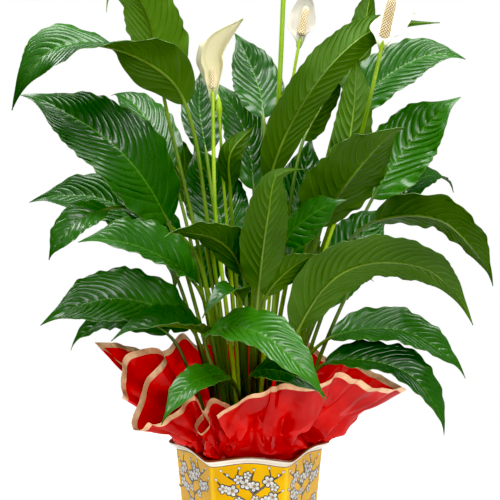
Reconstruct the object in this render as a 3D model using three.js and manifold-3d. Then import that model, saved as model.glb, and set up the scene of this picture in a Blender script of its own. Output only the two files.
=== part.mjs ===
// A potted peace lily: glazed six-sided pot, film wrap, grower's pot, soil, leaves and blooms.
//
// Millimetres, +Z up. The origin is the centre of the pot's underside, and -Y is the front.
// Every leaf and stalk rises from its own hole in the soil. The stems fan out from one point
// under the soil, so that they part as they rise, and each blade arches on from its neck.

import * as THREE from "three";
import { mergeVertices } from "three/addons/utils/BufferGeometryUtils.js";
import Module from "manifold-3d";

// ---------------------------------------------------------------- driving dimensions

const POT = {
  sides: 6,
  baseCorner: 109, // corner radius at the foot
  bodyCorner: 131.5, // corner radius under the rim
  bodyTop: 246,
  rimCorner: 144.5, // corner radius of the flared lip
  rimHeight: 258, // height of the lip at the corners
  rimCrest: 7, // how far the lip rises at the middle of each side
  crestFlatness: 0.8, // exponent of the crest's wave: less than 1 makes it broader
  innerCrest: 0.4, // share of the crest that is left inside, under the lip
  lip: 8, // width of the lip's rounded top
  round: 3, // rounding under the foot
  wall: 6.5,
  floor: 9,
  stepsPerSide: 8,
};

const GAP = 0.3; // between pieces that lie against each other

const GROWER = {
  baseRadius: 76,
  topRadius: 94,
  height: 205,
  wall: 1.6,
  lip: 2, // how far the lip stands out
  lipHeight: 6,
  round: 2, // rounding at the foot
  segments: 48,
};

const SOIL = {
  edge: 203,
  top: 210,
  shoulder: [0.7, 0.6], // share of the radius, and of the rise from edge to top, where it flattens
};

const WRAP = {
  film: 1, // thickness
  columns: 48,
  collarRises: [0, 0.22, 0.5, 0.78, 1], // rings of the collar, from its neck to its edge
  pleats: 12,
  pleatHeight: 8, // at the edge
  pleatLean: 0.6, // how far a pleat leans inward for each millimetre that it rises
  round: 4, // rounding at the bag's foot
  bottomRadius: 79,
  neckRadius: 100, // inside the pot, beside the grower's pot's lip
  neckHeight: 222,
  rimRadius: 105, // where it passes the pot's lip
  rimHeight: 262,
  elbow: [119, 280], // reach and height that the collar bends towards
};

// The collar's gold edge: azimuth in degrees (0 is +X, 90 the back), reach and height.
const WRAP_EDGE = [
  [-90, 190, 350],
  [-72, 195, 372],
  [-55, 190, 385],
  [-38, 195, 392],
  [-22, 235, 380],
  [-4, 272, 354],
  [18, 235, 390],
  [42, 195, 412],
  [68, 178, 420],
  [92, 172, 420],
  [118, 178, 420],
  [145, 192, 422],
  [164, 214, 424],
  [176, 256, 442],
  [186, 224, 412],
  [194, 212, 355],
  [203, 211, 298],
  [220, 198, 310],
  [236, 186, 335],
  [254, 182, 345],
];

const STEM = {
  buried: 12, // depth of a stem's root in the soil
  rise: 4, // straight stretch above the soil
  focusDepth: 150, // how far under the soil's top the stems' directions meet
  footRadius: 4.4,
  neckRadius: 3,
  footSwell: 1.3, // how much thicker a flower stalk is at its foot
  steps: 3, // stretches from the soil to the neck
  clearance: 0.45, // between a stem's corners and its hole
  bow: 0.88, // how far a stem's middle is drawn towards the plant's axis
  spacing: 11, // least distance between two feet
  spreadRounds: 80,
};

const BLADE = {
  rib: 2.4, // thickness at the midrib's foot
  edge: 0.8, // thickness at the margin
  baseFullness: 0.55, // exponents of the outline: how blunt the base is
  tipFullness: 0.88, // and how drawn out the tip is
  stations: [0, 0.05, 0.13, 0.24, 0.36, 0.48, 0.6, 0.72, 0.83, 0.92, 1],
  waves: 3.5, // waves of the margin along a blade
  waveHeight: 0.07, // of the half width
  waveShift: 0.3, // how far the right margin's waves are ahead of the left margin's
  foldStart: 0.25, // share of the blade by which it has its full fold
  neckRollEnds: [0.2, 0.5], // where the roll at the neck fades out
  tipRollStarts: [0.5, 0.8], // where the roll at the tip comes in
  tipWidth: 1.4,
};

// Each leaf: name, blade width, the way its upper face looks at mid blade, fold at the midrib in
// degrees, roll at the neck and at the tip in degrees, and its midrib from the neck to the tip.
const LEAVES = [
  ["arch_top_left", 110, [3, 8, 4], 16, 0, 0,
    [[-145, -40, 875], [-155, -75, 955], [-175, -105, 1020], [-208, -125, 1045], [-240, -140, 1015]]],
  ["arch_left", 108, [0, -1, 9], 12, 60, -55,
    [[-105, -90, 855], [-135, -130, 905], [-215, -190, 950], [-305, -210, 948], [-380, -220, 860]]],
  ["wide_left", 138, [3, -9, 6], 12, 0, 0,
    [[-135, -90, 660], [-215, -150, 790], [-370, -120, 885]]],
  ["left_shaded", 104, [1, -8, 7], 14, 0, 0,
    [[-145, 30, 580], [-250, 45, 680], [-385, 35, 688]]],
  ["left_streaked", 72, [3, -8, 4], 12, 0, 0,
    [[-125, -20, 600], [-185, -35, 680], [-245, -20, 730]]],
  ["left_drooping", 58, [0, -7, 7], 14, 0, 0,
    [[-230, -150, 690], [-278, -175, 672], [-325, -190, 615]]],
  ["left_folded", 110, [0, -6, 8], 24, 0, 0,
    [[-88, -125, 560], [-175, -185, 632], [-262, -235, 658]]],
  ["low_left_broad", 120, [0, -7, 7], 12, 0, 0,
    [[-102, -35, 470], [-222, -100, 532], [-345, -140, 505]]],
  ["low_left_under", 84, [0, -5, 8], 16, 0, 0,
    [[-145, 45, 440], [-245, 80, 462], [-332, 90, 410]]],
  ["low_left_front", 80, [-1, -5, 8], 34, 0, 0,
    [[-72, -85, 465], [-145, -165, 500], [-220, -210, 495]]],
  ["small_front", 54, [1, -6, 8], 14, 0, 0,
    [[-35, -130, 405], [-95, -220, 415], [-140, -262, 365]]],
  ["bright_front", 88, [0, -5, 8], 14, 0, 0,
    [[-70, -140, 478], [20, -230, 500], [125, -268, 410]]],
  ["low_right_front", 52, [1, -7, 7], 12, 0, 0,
    [[5, -140, 413], [65, -210, 430], [125, -240, 403]]],
  ["low_right", 100, [3, -4, 8], 16, 0, 0,
    [[128, -60, 410], [264, -110, 408], [340, -130, 308]]],
  ["right_arch", 90, [1, -5, 8], 16, 0, 0,
    [[140, -40, 452], [260, -60, 469], [378, -70, 398]]],
  ["right_large", 104, [0, 8, 6], 14, 0, -10,
    [[80, -120, 480], [130, -160, 570], [185, -185, 605], [285, -200, 598], [366, -200, 522]]],
  ["right_high", 98, [1, 6, 8], 14, 0, 0,
    [[212, -75, 660], [318, -100, 665], [415, -105, 565]]],
  ["right_bright", 124, [-3, -9, 5], 12, 0, 0,
    [[215, 30, 685], [282, 50, 782], [360, 30, 865]]],
  ["centre_broad", 136, [-4, 9, 4], 10, 0, 0,
    [[115, -90, 650], [172, -140, 748], [243, -165, 832]]],
  ["diagonal", 74, [1, 8, 5], 14, 0, 0,
    [[32, -120, 725], [56, -150, 805], [97, -170, 880],
      [149, -160, 942], [222, -98, 985], [297, -48, 985]]],
  ["narrow_erect", 70, [3, 9, 1], 14, 0, 0,
    [[150, -60, 700], [174, -45, 828], [182, -20, 945]]],
  ["high_right", 96, [-2, -8, 6], 14, 0, 0,
    [[185, 35, 830], [222, 45, 883], [308, 55, 932], [374, 45, 935]]],
  ["back_right_tip", 60, [0, -5, 9], 14, 0, 0,
    [[255, 55, 665], [330, 140, 715], [385, 190, 690]]],
  ["right_inner", 96, [-3, -8, 4], 14, 0, 0,
    [[140, -10, 555], [190, 0, 618], [240, 10, 675]]],
  ["right_small", 70, [0, -6, 8], 14, 0, 0,
    [[130, 75, 480], [180, 150, 515], [235, 185, 520]]],
  ["erect_front", 78, [-1, 9, 2], 16, 0, 0,
    [[15, -150, 555], [30, -200, 685], [45, -205, 750], [80, -195, 760]]],
  ["across_front", 80, [2, 8, 6], 14, 0, 0,
    [[-10, -95, 570], [-50, -160, 640], [-135, -210, 665]]],
  ["glossy_cup", 72, [0, -8, 6], -14, 0, 0,
    [[58, -125, 628], [100, -165, 682], [150, -190, 712]]],
  ["pale_under", 50, [1, 8, 5], 14, 0, 0,
    [[28, -120, 540], [66, -145, 590], [112, -170, 622]]],
  ["curled_front", 50, [0, -5, 9], 30, 0, 0,
    [[-15, -130, 535], [-35, -225, 565], [-75, -262, 540]]],
  ["inner_left", 115, [1, -9, 3], 12, 0, 0,
    [[-40, 60, 590], [-65, 110, 685], [-100, 150, 775]]],
  ["inner_right", 95, [-1, -9, 3], 12, 0, 0,
    [[75, 50, 580], [92, 100, 680], [112, 140, 790]]],
  ["back_centre", 90, [1, -9, 3], 12, 0, 0,
    [[25, 30, 825], [10, 100, 895], [-25, 130, 975]]],
  ["back_mid", 90, [3, -9, 3], 12, 0, 0,
    [[8, 80, 695], [-10, 135, 800], [-65, 170, 890]]],
  ["inner_dark", 42, [2, 9, 2], 14, 0, 0,
    [[-32, -50, 715], [-30, -75, 775], [10, -70, 820]]],
  ["back_narrow", 74, [2, -9, 2], 14, 0, 0,
    [[-75, 40, 765], [-88, 80, 840], [-85, 110, 905]]],
  ["back_left", 88, [3, -8, 5], 14, 0, 0,
    [[-140, 90, 730], [-203, 170, 834], [-256, 220, 868]]],
  ["back_left_low", 85, [3, 8, 4], 14, 0, 0,
    [[-95, 130, 650], [-140, 170, 740], [-195, 205, 805]]],
  ["back_upper_right", 75, [-2, 9, 4], 14, 0, 0,
    [[95, 60, 785], [125, 110, 835], [175, 150, 910]]],
  ["tall_right", 60, [-3, 9, 1], 14, 0, 0,
    [[168, 70, 870], [198, 130, 950], [222, 150, 1070]]],
  ["back_low_left", 95, [0, 2, 9], 14, 0, 0,
    [[-75, 110, 510], [-115, 215, 568], [-150, 325, 480]]],
  ["back_low_right", 95, [0, 2, 9], 14, 0, 0,
    [[65, 110, 515], [88, 230, 578], [120, 340, 480]]],
  ["back_lowest", 100, [0, 2, 9], 14, 0, 0,
    [[5, 120, 470], [0, 225, 540], [-10, 325, 480]]],
];

// Where a leaf's stem bends on its way to the neck.
const STEM_BENDS = {
  left_drooping: [[-112, -50, 640], [-168, -105, 688]],
  small_front: [[-12, -85, 340]],
  right_arch: [[85, -25, 390]],
  right_high: [[140, -65, 590]],
};

// Each bloom: its stalk above the soil, the spathe's midrib and width, the way its inner face
// looks, its cup (half the arc of its section, in degrees), and the spadix's length and radius.
const BLOOMS = [
  {
    name: "cream",
    stalk: [[-55, -100, 660], [-60, -80, 880]],
    radius: 3.2,
    spathe: [[-68, -62, 908], [-74, -64, 938], [-58, -72, 968], [-10, -95, 995]],
    width: 92,
    facing: [3, -9, 0],
    cup: 150,
    spadix: 34,
    spadixRadius: 5,
  },
  {
    name: "tall",
    stalk: [[50, -60, 880], [57, -60, 1050]],
    radius: 4,
    spathe: [[58, -38, 1075], [60, -35, 1110], [66, -50, 1160]],
    width: 66,
    facing: [0, -9, 0],
    cup: 55,
    spadix: 74,
    spadixRadius: 9,
  },
  {
    name: "white",
    stalk: [[75, 10, 895], [88, 14, 966]],
    radius: 2.6,
    spathe: [[86, 26, 975], [94, 30, 1010], [97, 20, 1050]],
    width: 52,
    facing: [0, -9, 0],
    cup: 55,
    spadix: 52,
    spadixRadius: 7.5,
  },
  {
    name: "open",
    stalk: [[173, -75, 750], [197, -126, 871], [213, -165, 963]],
    radius: 3.2,
    spathe: [[219, -140, 969], [238, -126, 988], [268, -118, 1003]],
    width: 62,
    facing: [-2, -9, 1],
    cup: 50,
    spadix: 75,
    spadixRadius: 9,
  },
];

const SPATHE = {
  film: 0.9, // thickness
  claw: 20, // length that clasps the stalk
  clawSpread: 1.2, // the claw's half width in clasp radii, and half its arc in radians
  gap: 0.9, // between the claw and the stalk
  opens: 1 / 3, // share of the length by which it has opened to its full width
  tipCup: 0.55, // how much of the cup is left at the tip
  lead: 0.02, // how far the outline starts ahead of the claw's end
  leastHalf: 1, // half width of the tip
  stations: [0, 0.08, 0.18, 0.3, 0.43, 0.56, 0.69, 0.81, 0.91, 1],
};

const SPADIX = {
  around: 10,
  rows: 12,
  relief: 0.6, // how far a knob stands out or a gap lies in
  gap: 0.3, // between the stalk's end and the spike
  foot: 0.6, // radius of the lowest row, of the full radius
  taper: 0.8, // radius under the tip, of the full radius
  dome: 0.25, // share of the length that the tip's dome takes
  tip: 0.25, // radius of the last row, of the full radius
};

const BUD = {
  name: "bud",
  stalk: [[-45, -30, 740], [-50, -30, 830]],
  radius: 2.4,
  length: 40,
  girth: 5.5,
  outline: [[0.2, 0.85], [0.45, 1], [0.75, 0.6], [1, 0.12]], // share of the length, of the girth
};

const COLOURS = {
  glaze: { color: 0xf2c20f, roughness: 0.15, metalness: 0 },
  film: { color: 0xd01418, roughness: 0.3, metalness: 0 },
  plastic: { color: 0x2a2624, roughness: 0.6, metalness: 0 },
  soil: { color: 0x3a2a1e, roughness: 1, metalness: 0 },
  leaf: { color: 0x1f6b1c, roughness: 0.35, metalness: 0 },
  stalk: { color: 0x8fbf2a, roughness: 0.45, metalness: 0 },
  spathe: { color: 0xf6f4e6, roughness: 0.5, metalness: 0 },
  spadix: { color: 0xe8cf8a, roughness: 0.7, metalness: 0 },
};

const wrapBottom = POT.floor + GAP + WRAP.film / 2; // middle of the film under the grower's pot
const growerBase = wrapBottom + WRAP.film / 2 + GAP;

// ---------------------------------------------------------------- helpers

const wasm = await Module();
wasm.setup();

const UP = new THREE.Vector3(0, 0, 1);
const FRONT = new THREE.Vector3(0, -1, 0);
const SPINE_STEPS = 24; // samples of a spine between two of its points

const vector = ([x, y, z]) => new THREE.Vector3(x, y, z);
const radians = THREE.MathUtils.degToRad;
const mix = THREE.MathUtils.lerp;
const smoothstep = THREE.MathUtils.smoothstep;

// A closed solid through rings of equal count. The rings run anticlockwise about the way they
// travel. crossed(i, j) turns the diagonal of the quad between rings i and i + 1 at corner j.
function loft(rings, crossed = () => false) {
  const around = rings[0].length;
  const points = rings.flat();
  const faces = [];
  const at = (i, j) => i * around + (j % around);
  for (let i = 0; i < rings.length - 1; i++) {
    for (let j = 0; j < around; j++) {
      const [a, b, c, d] = [at(i, j), at(i, j + 1), at(i + 1, j), at(i + 1, j + 1)];
      if (crossed(i, j)) faces.push(a, b, c, b, d, c);
      else faces.push(a, b, d, a, d, c);
    }
  }
  for (const end of [0, rings.length - 1]) {
    const centre = points.length;
    points.push(rings[end].reduce((sum, p) => sum.add(p), new THREE.Vector3()).divideScalar(around));
    for (let j = 0; j < around; j++) {
      const [a, b] = [at(end, j), at(end, j + 1)];
      faces.push(centre, ...(end === 0 ? [b, a] : [a, b]));
    }
  }
  const geometry = new THREE.BufferGeometry().setFromPoints(points);
  geometry.setIndex(faces);
  return geometry;
}

function solidOf(geometry) {
  const bare = geometry.clone();
  bare.deleteAttribute("normal");
  bare.deleteAttribute("uv");
  const merged = mergeVertices(bare, 1e-4);
  const vertProperties = new Float32Array(merged.attributes.position.array);
  const triVerts = new Uint32Array(merged.index.array);
  return new wasm.Manifold(new wasm.Mesh({ numProp: 3, vertProperties, triVerts }));
}

function geometryOf(solid) {
  const { vertProperties, triVerts } = solid.getMesh();
  const geometry = new THREE.BufferGeometry();
  geometry.setAttribute("position", new THREE.BufferAttribute(new Float32Array(vertProperties), 3));
  geometry.setIndex(new THREE.BufferAttribute(new Uint32Array(triVerts), 1));
  return geometry;
}

const plant = new THREE.Group();

function addNode(name, geometry, finish) {
  geometry.computeVertexNormals();
  const mesh = new THREE.Mesh(geometry, new THREE.MeshStandardMaterial(finish));
  mesh.name = name;
  plant.add(mesh);
}

// ---------------------------------------------------------------- the outer pot

// A point of a six-sided ring: share runs round the pot, and a flat side faces the front.
function hexPoint(share, corner, height, crest) {
  const side = share * POT.sides;
  const along = side - Math.floor(side);
  const start = radians(-60 + (360 / POT.sides) * Math.floor(side));
  const end = start + radians(360 / POT.sides);
  const x = mix(Math.cos(start), Math.cos(end), along) * corner;
  const y = mix(Math.sin(start), Math.sin(end), along) * corner;
  const wave = Math.max(0, -Math.cos(2 * Math.PI * along)) ** POT.crestFlatness;
  return new THREE.Vector3(x, y, height + crest * wave);
}

function hexRing([corner, height, crest = 0]) {
  const count = POT.sides * POT.stepsPerSide;
  return Array.from({ length: count }, (_, k) => hexPoint(k / count, corner, height, crest));
}

// Rings of the pot, up the outside, over the lip and down the inside: corner radius, height and
// crest. The small offsets round the foot, the step under the rim and the lip.
function pot() {
  const { baseCorner, bodyCorner, bodyTop, rimCorner, rimHeight, rimCrest, lip, round, floor } = POT;
  const wall = POT.wall / Math.cos(Math.PI / POT.sides);
  const middleCorner = mix(baseCorner, bodyCorner, 0.5);
  const profile = [
    [baseCorner - round, 0],
    [baseCorner, round],
    [middleCorner, bodyTop / 2],
    [bodyCorner, bodyTop - round, rimCrest],
    [bodyCorner + lip / 2, bodyTop + 2, rimCrest],
    [rimCorner - 1, rimHeight - 5, rimCrest],
    [rimCorner, rimHeight - 1, rimCrest],
    [rimCorner - 2, rimHeight + 1, rimCrest],
    [rimCorner - lip, rimHeight - 1, rimCrest],
    [bodyCorner - wall + 2, bodyTop + 4, rimCrest],
    [bodyCorner - wall, bodyTop - lip, rimCrest * POT.innerCrest],
    [middleCorner - wall, bodyTop / 2],
    [baseCorner - wall, floor],
  ];
  return loft(profile.map(hexRing));
}

// ---------------------------------------------------------------- grower's pot and soil

function growersPot() {
  const { baseRadius, topRadius, height, wall, lip, lipHeight, round } = GROWER;
  const base = growerBase;
  const top = base + height;
  const outline = [
    [0, base],
    [baseRadius - round, base],
    [baseRadius, base + round],
    [topRadius - lip, top - lipHeight],
    [topRadius, top - lipHeight],
    [topRadius, top],
    [topRadius - lip - wall, top],
    [baseRadius - wall, base + wall],
    [0, base + wall],
  ];
  return turned(outline);
}

// The solid of revolution of an outline of radii and heights, bottom first.
function turned(outline) {
  const points = outline.map(([radius, height]) => new THREE.Vector2(radius, height));
  return new THREE.LatheGeometry(points, GROWER.segments).rotateX(Math.PI / 2);
}

// The radius of the grower's pot's inside at a height.
function growerInside(height) {
  const { baseRadius, topRadius, wall, lip } = GROWER;
  const share = (height - growerBase - wall) / (GROWER.height - wall);
  return mix(baseRadius - wall, topRadius - lip - wall, share);
}

function soil(feet) {
  const { edge, top, shoulder } = SOIL;
  const base = growerBase + GROWER.wall + GAP;
  const edgeRadius = growerInside(edge) - GAP;
  const outline = [
    [0, base],
    [growerInside(base) - GAP, base],
    [edgeRadius, edge],
    [edgeRadius * shoulder[0], mix(edge, top, shoulder[1])],
    [0, top],
  ];
  const dig = (heap, foot) => heap.subtract(solidOf(stemHole(foot)));
  return geometryOf(feet.reduce(dig, solidOf(turned(outline))));
}

function stemHole({ place, radius, across, facing }) {
  const ends = [SOIL.top - STEM.buried - GAP, SOIL.top + STEM.rise];
  const wide = radius + STEM.clearance;
  return loft(ends.map((height) => hexagon(place.clone().setZ(height), wide, across, facing)));
}

// ---------------------------------------------------------------- the film wrap

// The collar's edge at an azimuth in degrees, from the closed list of hand-set places.
function wrapEdge(azimuth) {
  const places = WRAP_EDGE.map(([angle, reach, height]) => {
    const turn = radians(angle);
    return new THREE.Vector3(reach * Math.cos(turn), reach * Math.sin(turn), height);
  });
  const count = WRAP_EDGE.length;
  const wanted = ((azimuth - WRAP_EDGE[0][0] + 720) % 360) + WRAP_EDGE[0][0];
  let index = count - 1;
  while (WRAP_EDGE[index][0] > wanted) index--;
  const from = WRAP_EDGE[index][0];
  const to = index + 1 < count ? WRAP_EDGE[index + 1][0] : WRAP_EDGE[0][0] + 360;
  const curve = new THREE.CatmullRomCurve3(places, true, "centripetal");
  return curve.getPoint((index + (wanted - from) / (to - from)) / count);
}

// The film's middle surface: turn in radians round the pot, rise from 0 at the neck to 1 at the edge.
function collarPoint(turn, rise) {
  const edge = wrapEdge(THREE.MathUtils.radToDeg(turn));
  const out = new THREE.Vector3(Math.cos(turn), Math.sin(turn), 0);
  const start = out.clone().multiplyScalar(WRAP.rimRadius).setZ(WRAP.rimHeight);
  const elbow = out.clone().multiplyScalar(WRAP.elbow[0]).setZ(WRAP.elbow[1]);
  const point = new THREE.QuadraticBezierCurve3(start, elbow, edge).getPoint(rise);
  const pleat = WRAP.pleatHeight * Math.cos(WRAP.pleats * turn) * rise;
  return point.addScaledVector(out, -WRAP.pleatLean * pleat).addScaledVector(UP, pleat);
}

function filmRing(radius, height) {
  return (turn) => new THREE.Vector3(radius * Math.cos(turn), radius * Math.sin(turn), height);
}

function wrap() {
  const { film, columns, collarRises, bottomRadius, round, neckRadius, neckHeight } = WRAP;
  const levels = [
    filmRing(bottomRadius - round, wrapBottom),
    filmRing(bottomRadius, wrapBottom + round),
    filmRing(neckRadius, neckHeight),
    ...collarRises.map((rise) => (turn) => collarPoint(turn, rise)),
  ];
  const turns = Array.from({ length: columns }, (_, k) => (2 * Math.PI * k) / columns);
  const middle = levels.map((level) => turns.map(level));
  const normals = middle.map((ring, i) => ring.map((_, j) => filmNormal(middle, i, j)));
  const shifted = (amount) =>
    middle.map((ring, i) => ring.map((p, j) => p.clone().addScaledVector(normals[i][j], amount)));
  const outside = shifted(film / 2);
  const inside = shifted(-film / 2).reverse();
  return loft([...outside, ...inside], (i) => i >= outside.length);
}

// The film's outward direction at ring i and column j: straight down under the bag's foot.
function filmNormal(grid, i, j) {
  if (i === 0) return UP.clone().negate();
  const around = grid[i].length;
  const along = grid[i][(j + 1) % around].clone().sub(grid[i][(j + around - 1) % around]);
  const upper = grid[Math.min(i + 1, grid.length - 1)][j];
  return along.cross(upper.clone().sub(grid[i - 1][j])).normalize();
}

// ---------------------------------------------------------------- spines

// A curve with a side and a face direction all along it. The face is set where it is wanted,
// and carried both ways without turning about the curve.
function spineThrough(points, facingAt, facing) {
  const curve = new THREE.CatmullRomCurve3(points, false, "centripetal");
  const count = (points.length - 1) * SPINE_STEPS;
  curve.arcLengthDivisions = count;
  const lengths = curve.getLengths();
  const total = lengths.at(-1);
  const shares = points.map((_, k) => lengths[k * SPINE_STEPS] / total);
  const tangents = Array.from({ length: count + 1 }, (_, k) => curve.getTangentAt(k / count));
  const faces = new Array(count + 1);
  const upright = (face, k) =>
    face.clone().addScaledVector(tangents[k], -face.dot(tangents[k])).normalize();
  const middle = Math.round(facingAt(shares) * count);
  faces[middle] = upright(facing, middle);
  for (let k = middle + 1; k <= count; k++) faces[k] = upright(faces[k - 1], k);
  for (let k = middle - 1; k >= 0; k--) faces[k] = upright(faces[k + 1], k);
  const frame = (share, roll = 0) => {
    const k = Math.min(Math.floor(share * count), count - 1);
    const along = curve.getTangentAt(share);
    const face = faces[k].clone().lerp(faces[k + 1], share * count - k);
    face.addScaledVector(along, -face.dot(along)).normalize();
    face.applyAxisAngle(along, roll);
    return { place: curve.getPointAt(share), along, face, side: along.clone().cross(face) };
  };
  return { shares, frame, total };
}

function hexagon(centre, radius, side, face) {
  return [150, 90, 30, -30, -90, -150].map((degrees) =>
    centre
      .clone()
      .addScaledVector(side, radius * Math.cos(radians(degrees)))
      .addScaledVector(face, radius * Math.sin(radians(degrees))),
  );
}

// Where a stem that passes the given place would leave the soil, if it had the soil to itself.
function stemFoot(place) {
  const focus = SOIL.top - STEM.focusDepth;
  const share = STEM.focusDepth / (place.z - focus);
  return new THREE.Vector3(place.x * share, place.y * share, SOIL.top);
}

// Moves feet that are too close apart, a little at a time.
function spreadFeet(feet) {
  for (let round = 0; round < STEM.spreadRounds; round++) {
    feet.forEach((one, k) => {
      for (const other of feet.slice(k + 1)) {
        const apart = other.clone().sub(one);
        const missing = STEM.spacing - apart.length();
        if (missing <= 0) continue;
        apart.setLength(missing / 2);
        one.sub(apart);
        other.add(apart);
      }
    });
  }
}

// A stem's points from its root in the soil to just below the given neck.
function stemPoints(foot, neck, bends) {
  const root = foot.clone().setZ(SOIL.top - STEM.buried);
  const collar = foot.clone().setZ(SOIL.top + STEM.rise);
  if (bends.length) return [root, collar, ...bends.map(vector)];
  const middle = collar.clone().lerp(neck, 0.5);
  middle.x *= STEM.bow;
  middle.y *= STEM.bow;
  return [root, collar, middle];
}

// The two upright rings in the soil and at its surface, turned to match the rings above.
function footRings(foot, radius, face) {
  const facing = face.clone().setZ(0).normalize();
  const across = UP.clone().cross(facing);
  const heights = [SOIL.top - STEM.buried, SOIL.top + STEM.rise];
  const rings = heights.map((z) => hexagon(foot.clone().setZ(z), radius, across, facing));
  return { rings, hole: { place: foot, radius, across, facing } };
}

// Rings of a stem from its root up to the spine's point numbered last, and the hole it needs.
function stemRings(spine, last, foot, radii, roll) {
  const start = spine.shares[1];
  const end = spine.shares[last];
  const { rings, hole } = footRings(foot, radii[0], spine.frame(start, roll).face);
  for (let k = 1; k < STEM.steps; k++) {
    const share = k / STEM.steps;
    const { place, side, face } = spine.frame(mix(start, end, share), roll);
    rings.push(hexagon(place, mix(radii[0], radii[1], share), side, face));
  }
  return { rings, hole };
}

// ---------------------------------------------------------------- leaves

function halfWidth(share, width) {
  const { baseFullness: a, tipFullness: b } = BLADE;
  const peak = a / (a + b);
  const top = peak ** a * (1 - peak) ** b;
  return ((width / 2) * share ** a * (1 - share) ** b) / top;
}

// One section of a blade: margins and midrib, above and below, in the order of a stem's hexagon.
function bladeRing(frame, share, width, fold) {
  const { place, side, face } = frame;
  const half = Math.max(halfWidth(share, width), BLADE.tipWidth / 2);
  const rib = Math.max(mix(BLADE.rib, BLADE.edge, share), BLADE.edge);
  const tilt = radians(fold) * Math.min(1, share / BLADE.foldStart);
  const corner = (way) => {
    const phase = BLADE.waves * share + (way > 0 ? BLADE.waveShift : 0);
    const wave = BLADE.waveHeight * half * Math.sin(2 * Math.PI * phase);
    return place
      .clone()
      .addScaledVector(side, way * half * Math.cos(tilt))
      .addScaledVector(face, half * Math.sin(tilt) + wave);
  };
  const above = [corner(-1), place.clone(), corner(1)];
  const depths = [BLADE.edge, rib, BLADE.edge];
  const below = above.map((point, k) => point.clone().addScaledVector(face, -depths[k]));
  return [...above, ...below.reverse()];
}

function leaf([name, width, facing, fold, rollNeck, rollTip, midrib], foot) {
  const blade = midrib.map(vector);
  const stem = stemPoints(foot, blade[0], STEM_BENDS[name] ?? []);
  const neck = stem.length;
  const spine = spineThrough([...stem, ...blade], (shares) => mix(shares[neck], 1, 0.5), vector(facing));
  const roll = (share) => {
    const neckRoll = rollNeck * (1 - smoothstep(share, ...BLADE.neckRollEnds));
    return radians(neckRoll + rollTip * smoothstep(share, ...BLADE.tipRollStarts));
  };
  const radii = [STEM.footRadius, STEM.neckRadius];
  const { rings, hole } = stemRings(spine, neck, stem[0], radii, radians(rollNeck));
  const neckFrame = spine.frame(spine.shares[neck], roll(0));
  rings.push(hexagon(neckFrame.place, STEM.neckRadius, neckFrame.side, neckFrame.face));
  for (const share of BLADE.stations.slice(1)) {
    const frame = spine.frame(mix(spine.shares[neck], 1, share), roll(share));
    rings.push(bladeRing(frame, share, width, fold));
  }
  return { geometry: loft(rings, (_, j) => j > 2), hole };
}

// ---------------------------------------------------------------- blooms

// One section of a spathe: an arc of five points inside and five outside.
function spatheRing({ place, side, face }, half, cup) {
  const bend = half / cup;
  const row = (depth) =>
    [-1, -0.5, 0, 0.5, 1].map((across) => {
      const turn = across * cup;
      return place
        .clone()
        .addScaledVector(side, (bend + depth) * Math.sin(turn))
        .addScaledVector(face, bend - (bend + depth) * Math.cos(turn));
    });
  return [...row(0), ...row(SPATHE.film).reverse()];
}

function spathe(bloom, spine, top) {
  const cup = radians(bloom.cup);
  const clasp = bloom.radius + SPATHE.gap;
  const seat = spine.frame(spine.shares[top]);
  const facing = vector(bloom.facing);
  facing.addScaledVector(seat.along, -facing.dot(seat.along)).normalize();
  const back = (drop) =>
    spine.frame(spine.shares[top] - drop / spine.total).place.addScaledVector(facing, -clasp);
  const points = [back(SPATHE.claw), back(SPATHE.claw / 2), ...bloom.spathe.map(vector)];
  const midrib = spineThrough(points, () => 0, facing);
  const rings = SPATHE.stations.map((share) => {
    const full = halfWidth(Math.min(share + SPATHE.lead, 1), bloom.width);
    const opening = Math.min(1, share / SPATHE.opens);
    const half = Math.max(mix(clasp * SPATHE.clawSpread, full, opening), SPATHE.leastHalf);
    const arc = mix(SPATHE.clawSpread, mix(cup, cup * SPATHE.tipCup, share), opening);
    return spatheRing(midrib.frame(share), half, arc);
  });
  return loft(rings, (_, j) => j > 4);
}

function spadix(bloom, spine, top) {
  const { place, along, side, face } = spine.frame(spine.shares[top]);
  const { rows, gap, foot, taper, dome, tip } = SPADIX;
  const rings = [];
  for (let row = 0; row <= rows; row++) {
    const share = row / rows;
    const intoDome = Math.max(0, (share + dome - 1) / dome);
    const round = Math.max(tip, Math.sqrt(1 - intoDome ** 2));
    const radius = bloom.spadixRadius * mix(1, taper, share) * (row === 0 ? foot : round);
    const centre = place.clone().addScaledVector(along, gap + share * bloom.spadix);
    rings.push(spadixRing(centre, radius, row, side, face));
  }
  return loft(rings);
}

function spadixRing(centre, radius, row, side, face) {
  return Array.from({ length: SPADIX.around }, (_, k) => {
    const turn = (-2 * Math.PI * k) / SPADIX.around;
    const raised = radius + ((k + row) % 2 ? SPADIX.relief : -SPADIX.relief);
    return centre
      .clone()
      .addScaledVector(side, raised * Math.cos(turn))
      .addScaledVector(face, raised * Math.sin(turn));
  });
}

function stalkSpine({ stalk, radius }, foot) {
  const points = stalk.map(vector);
  const stem = stemPoints(foot, points[0], []);
  const spine = spineThrough([...stem, ...points], (shares) => shares[stem.length], FRONT);
  const last = stem.length + points.length - 1;
  const radii = [radius * STEM.footSwell, radius];
  const { rings, hole } = stemRings(spine, stem.length, stem[0], radii, 0);
  for (const share of [0, 0.5, 1]) {
    const { place, side, face } = spine.frame(mix(spine.shares[stem.length], spine.shares[last], share));
    rings.push(hexagon(place, radius, side, face));
  }
  return { spine, rings, hole, last };
}

function bud(foot) {
  const { spine, rings, hole, last } = stalkSpine(BUD, foot);
  const { place, along, side, face } = spine.frame(spine.shares[last]);
  for (const [rise, girth] of BUD.outline) {
    const centre = place.clone().addScaledVector(along, rise * BUD.length);
    rings.push(hexagon(centre, girth * BUD.girth, side, face));
  }
  return { geometry: loft(rings), hole };
}

// ---------------------------------------------------------------- the whole plant

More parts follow.
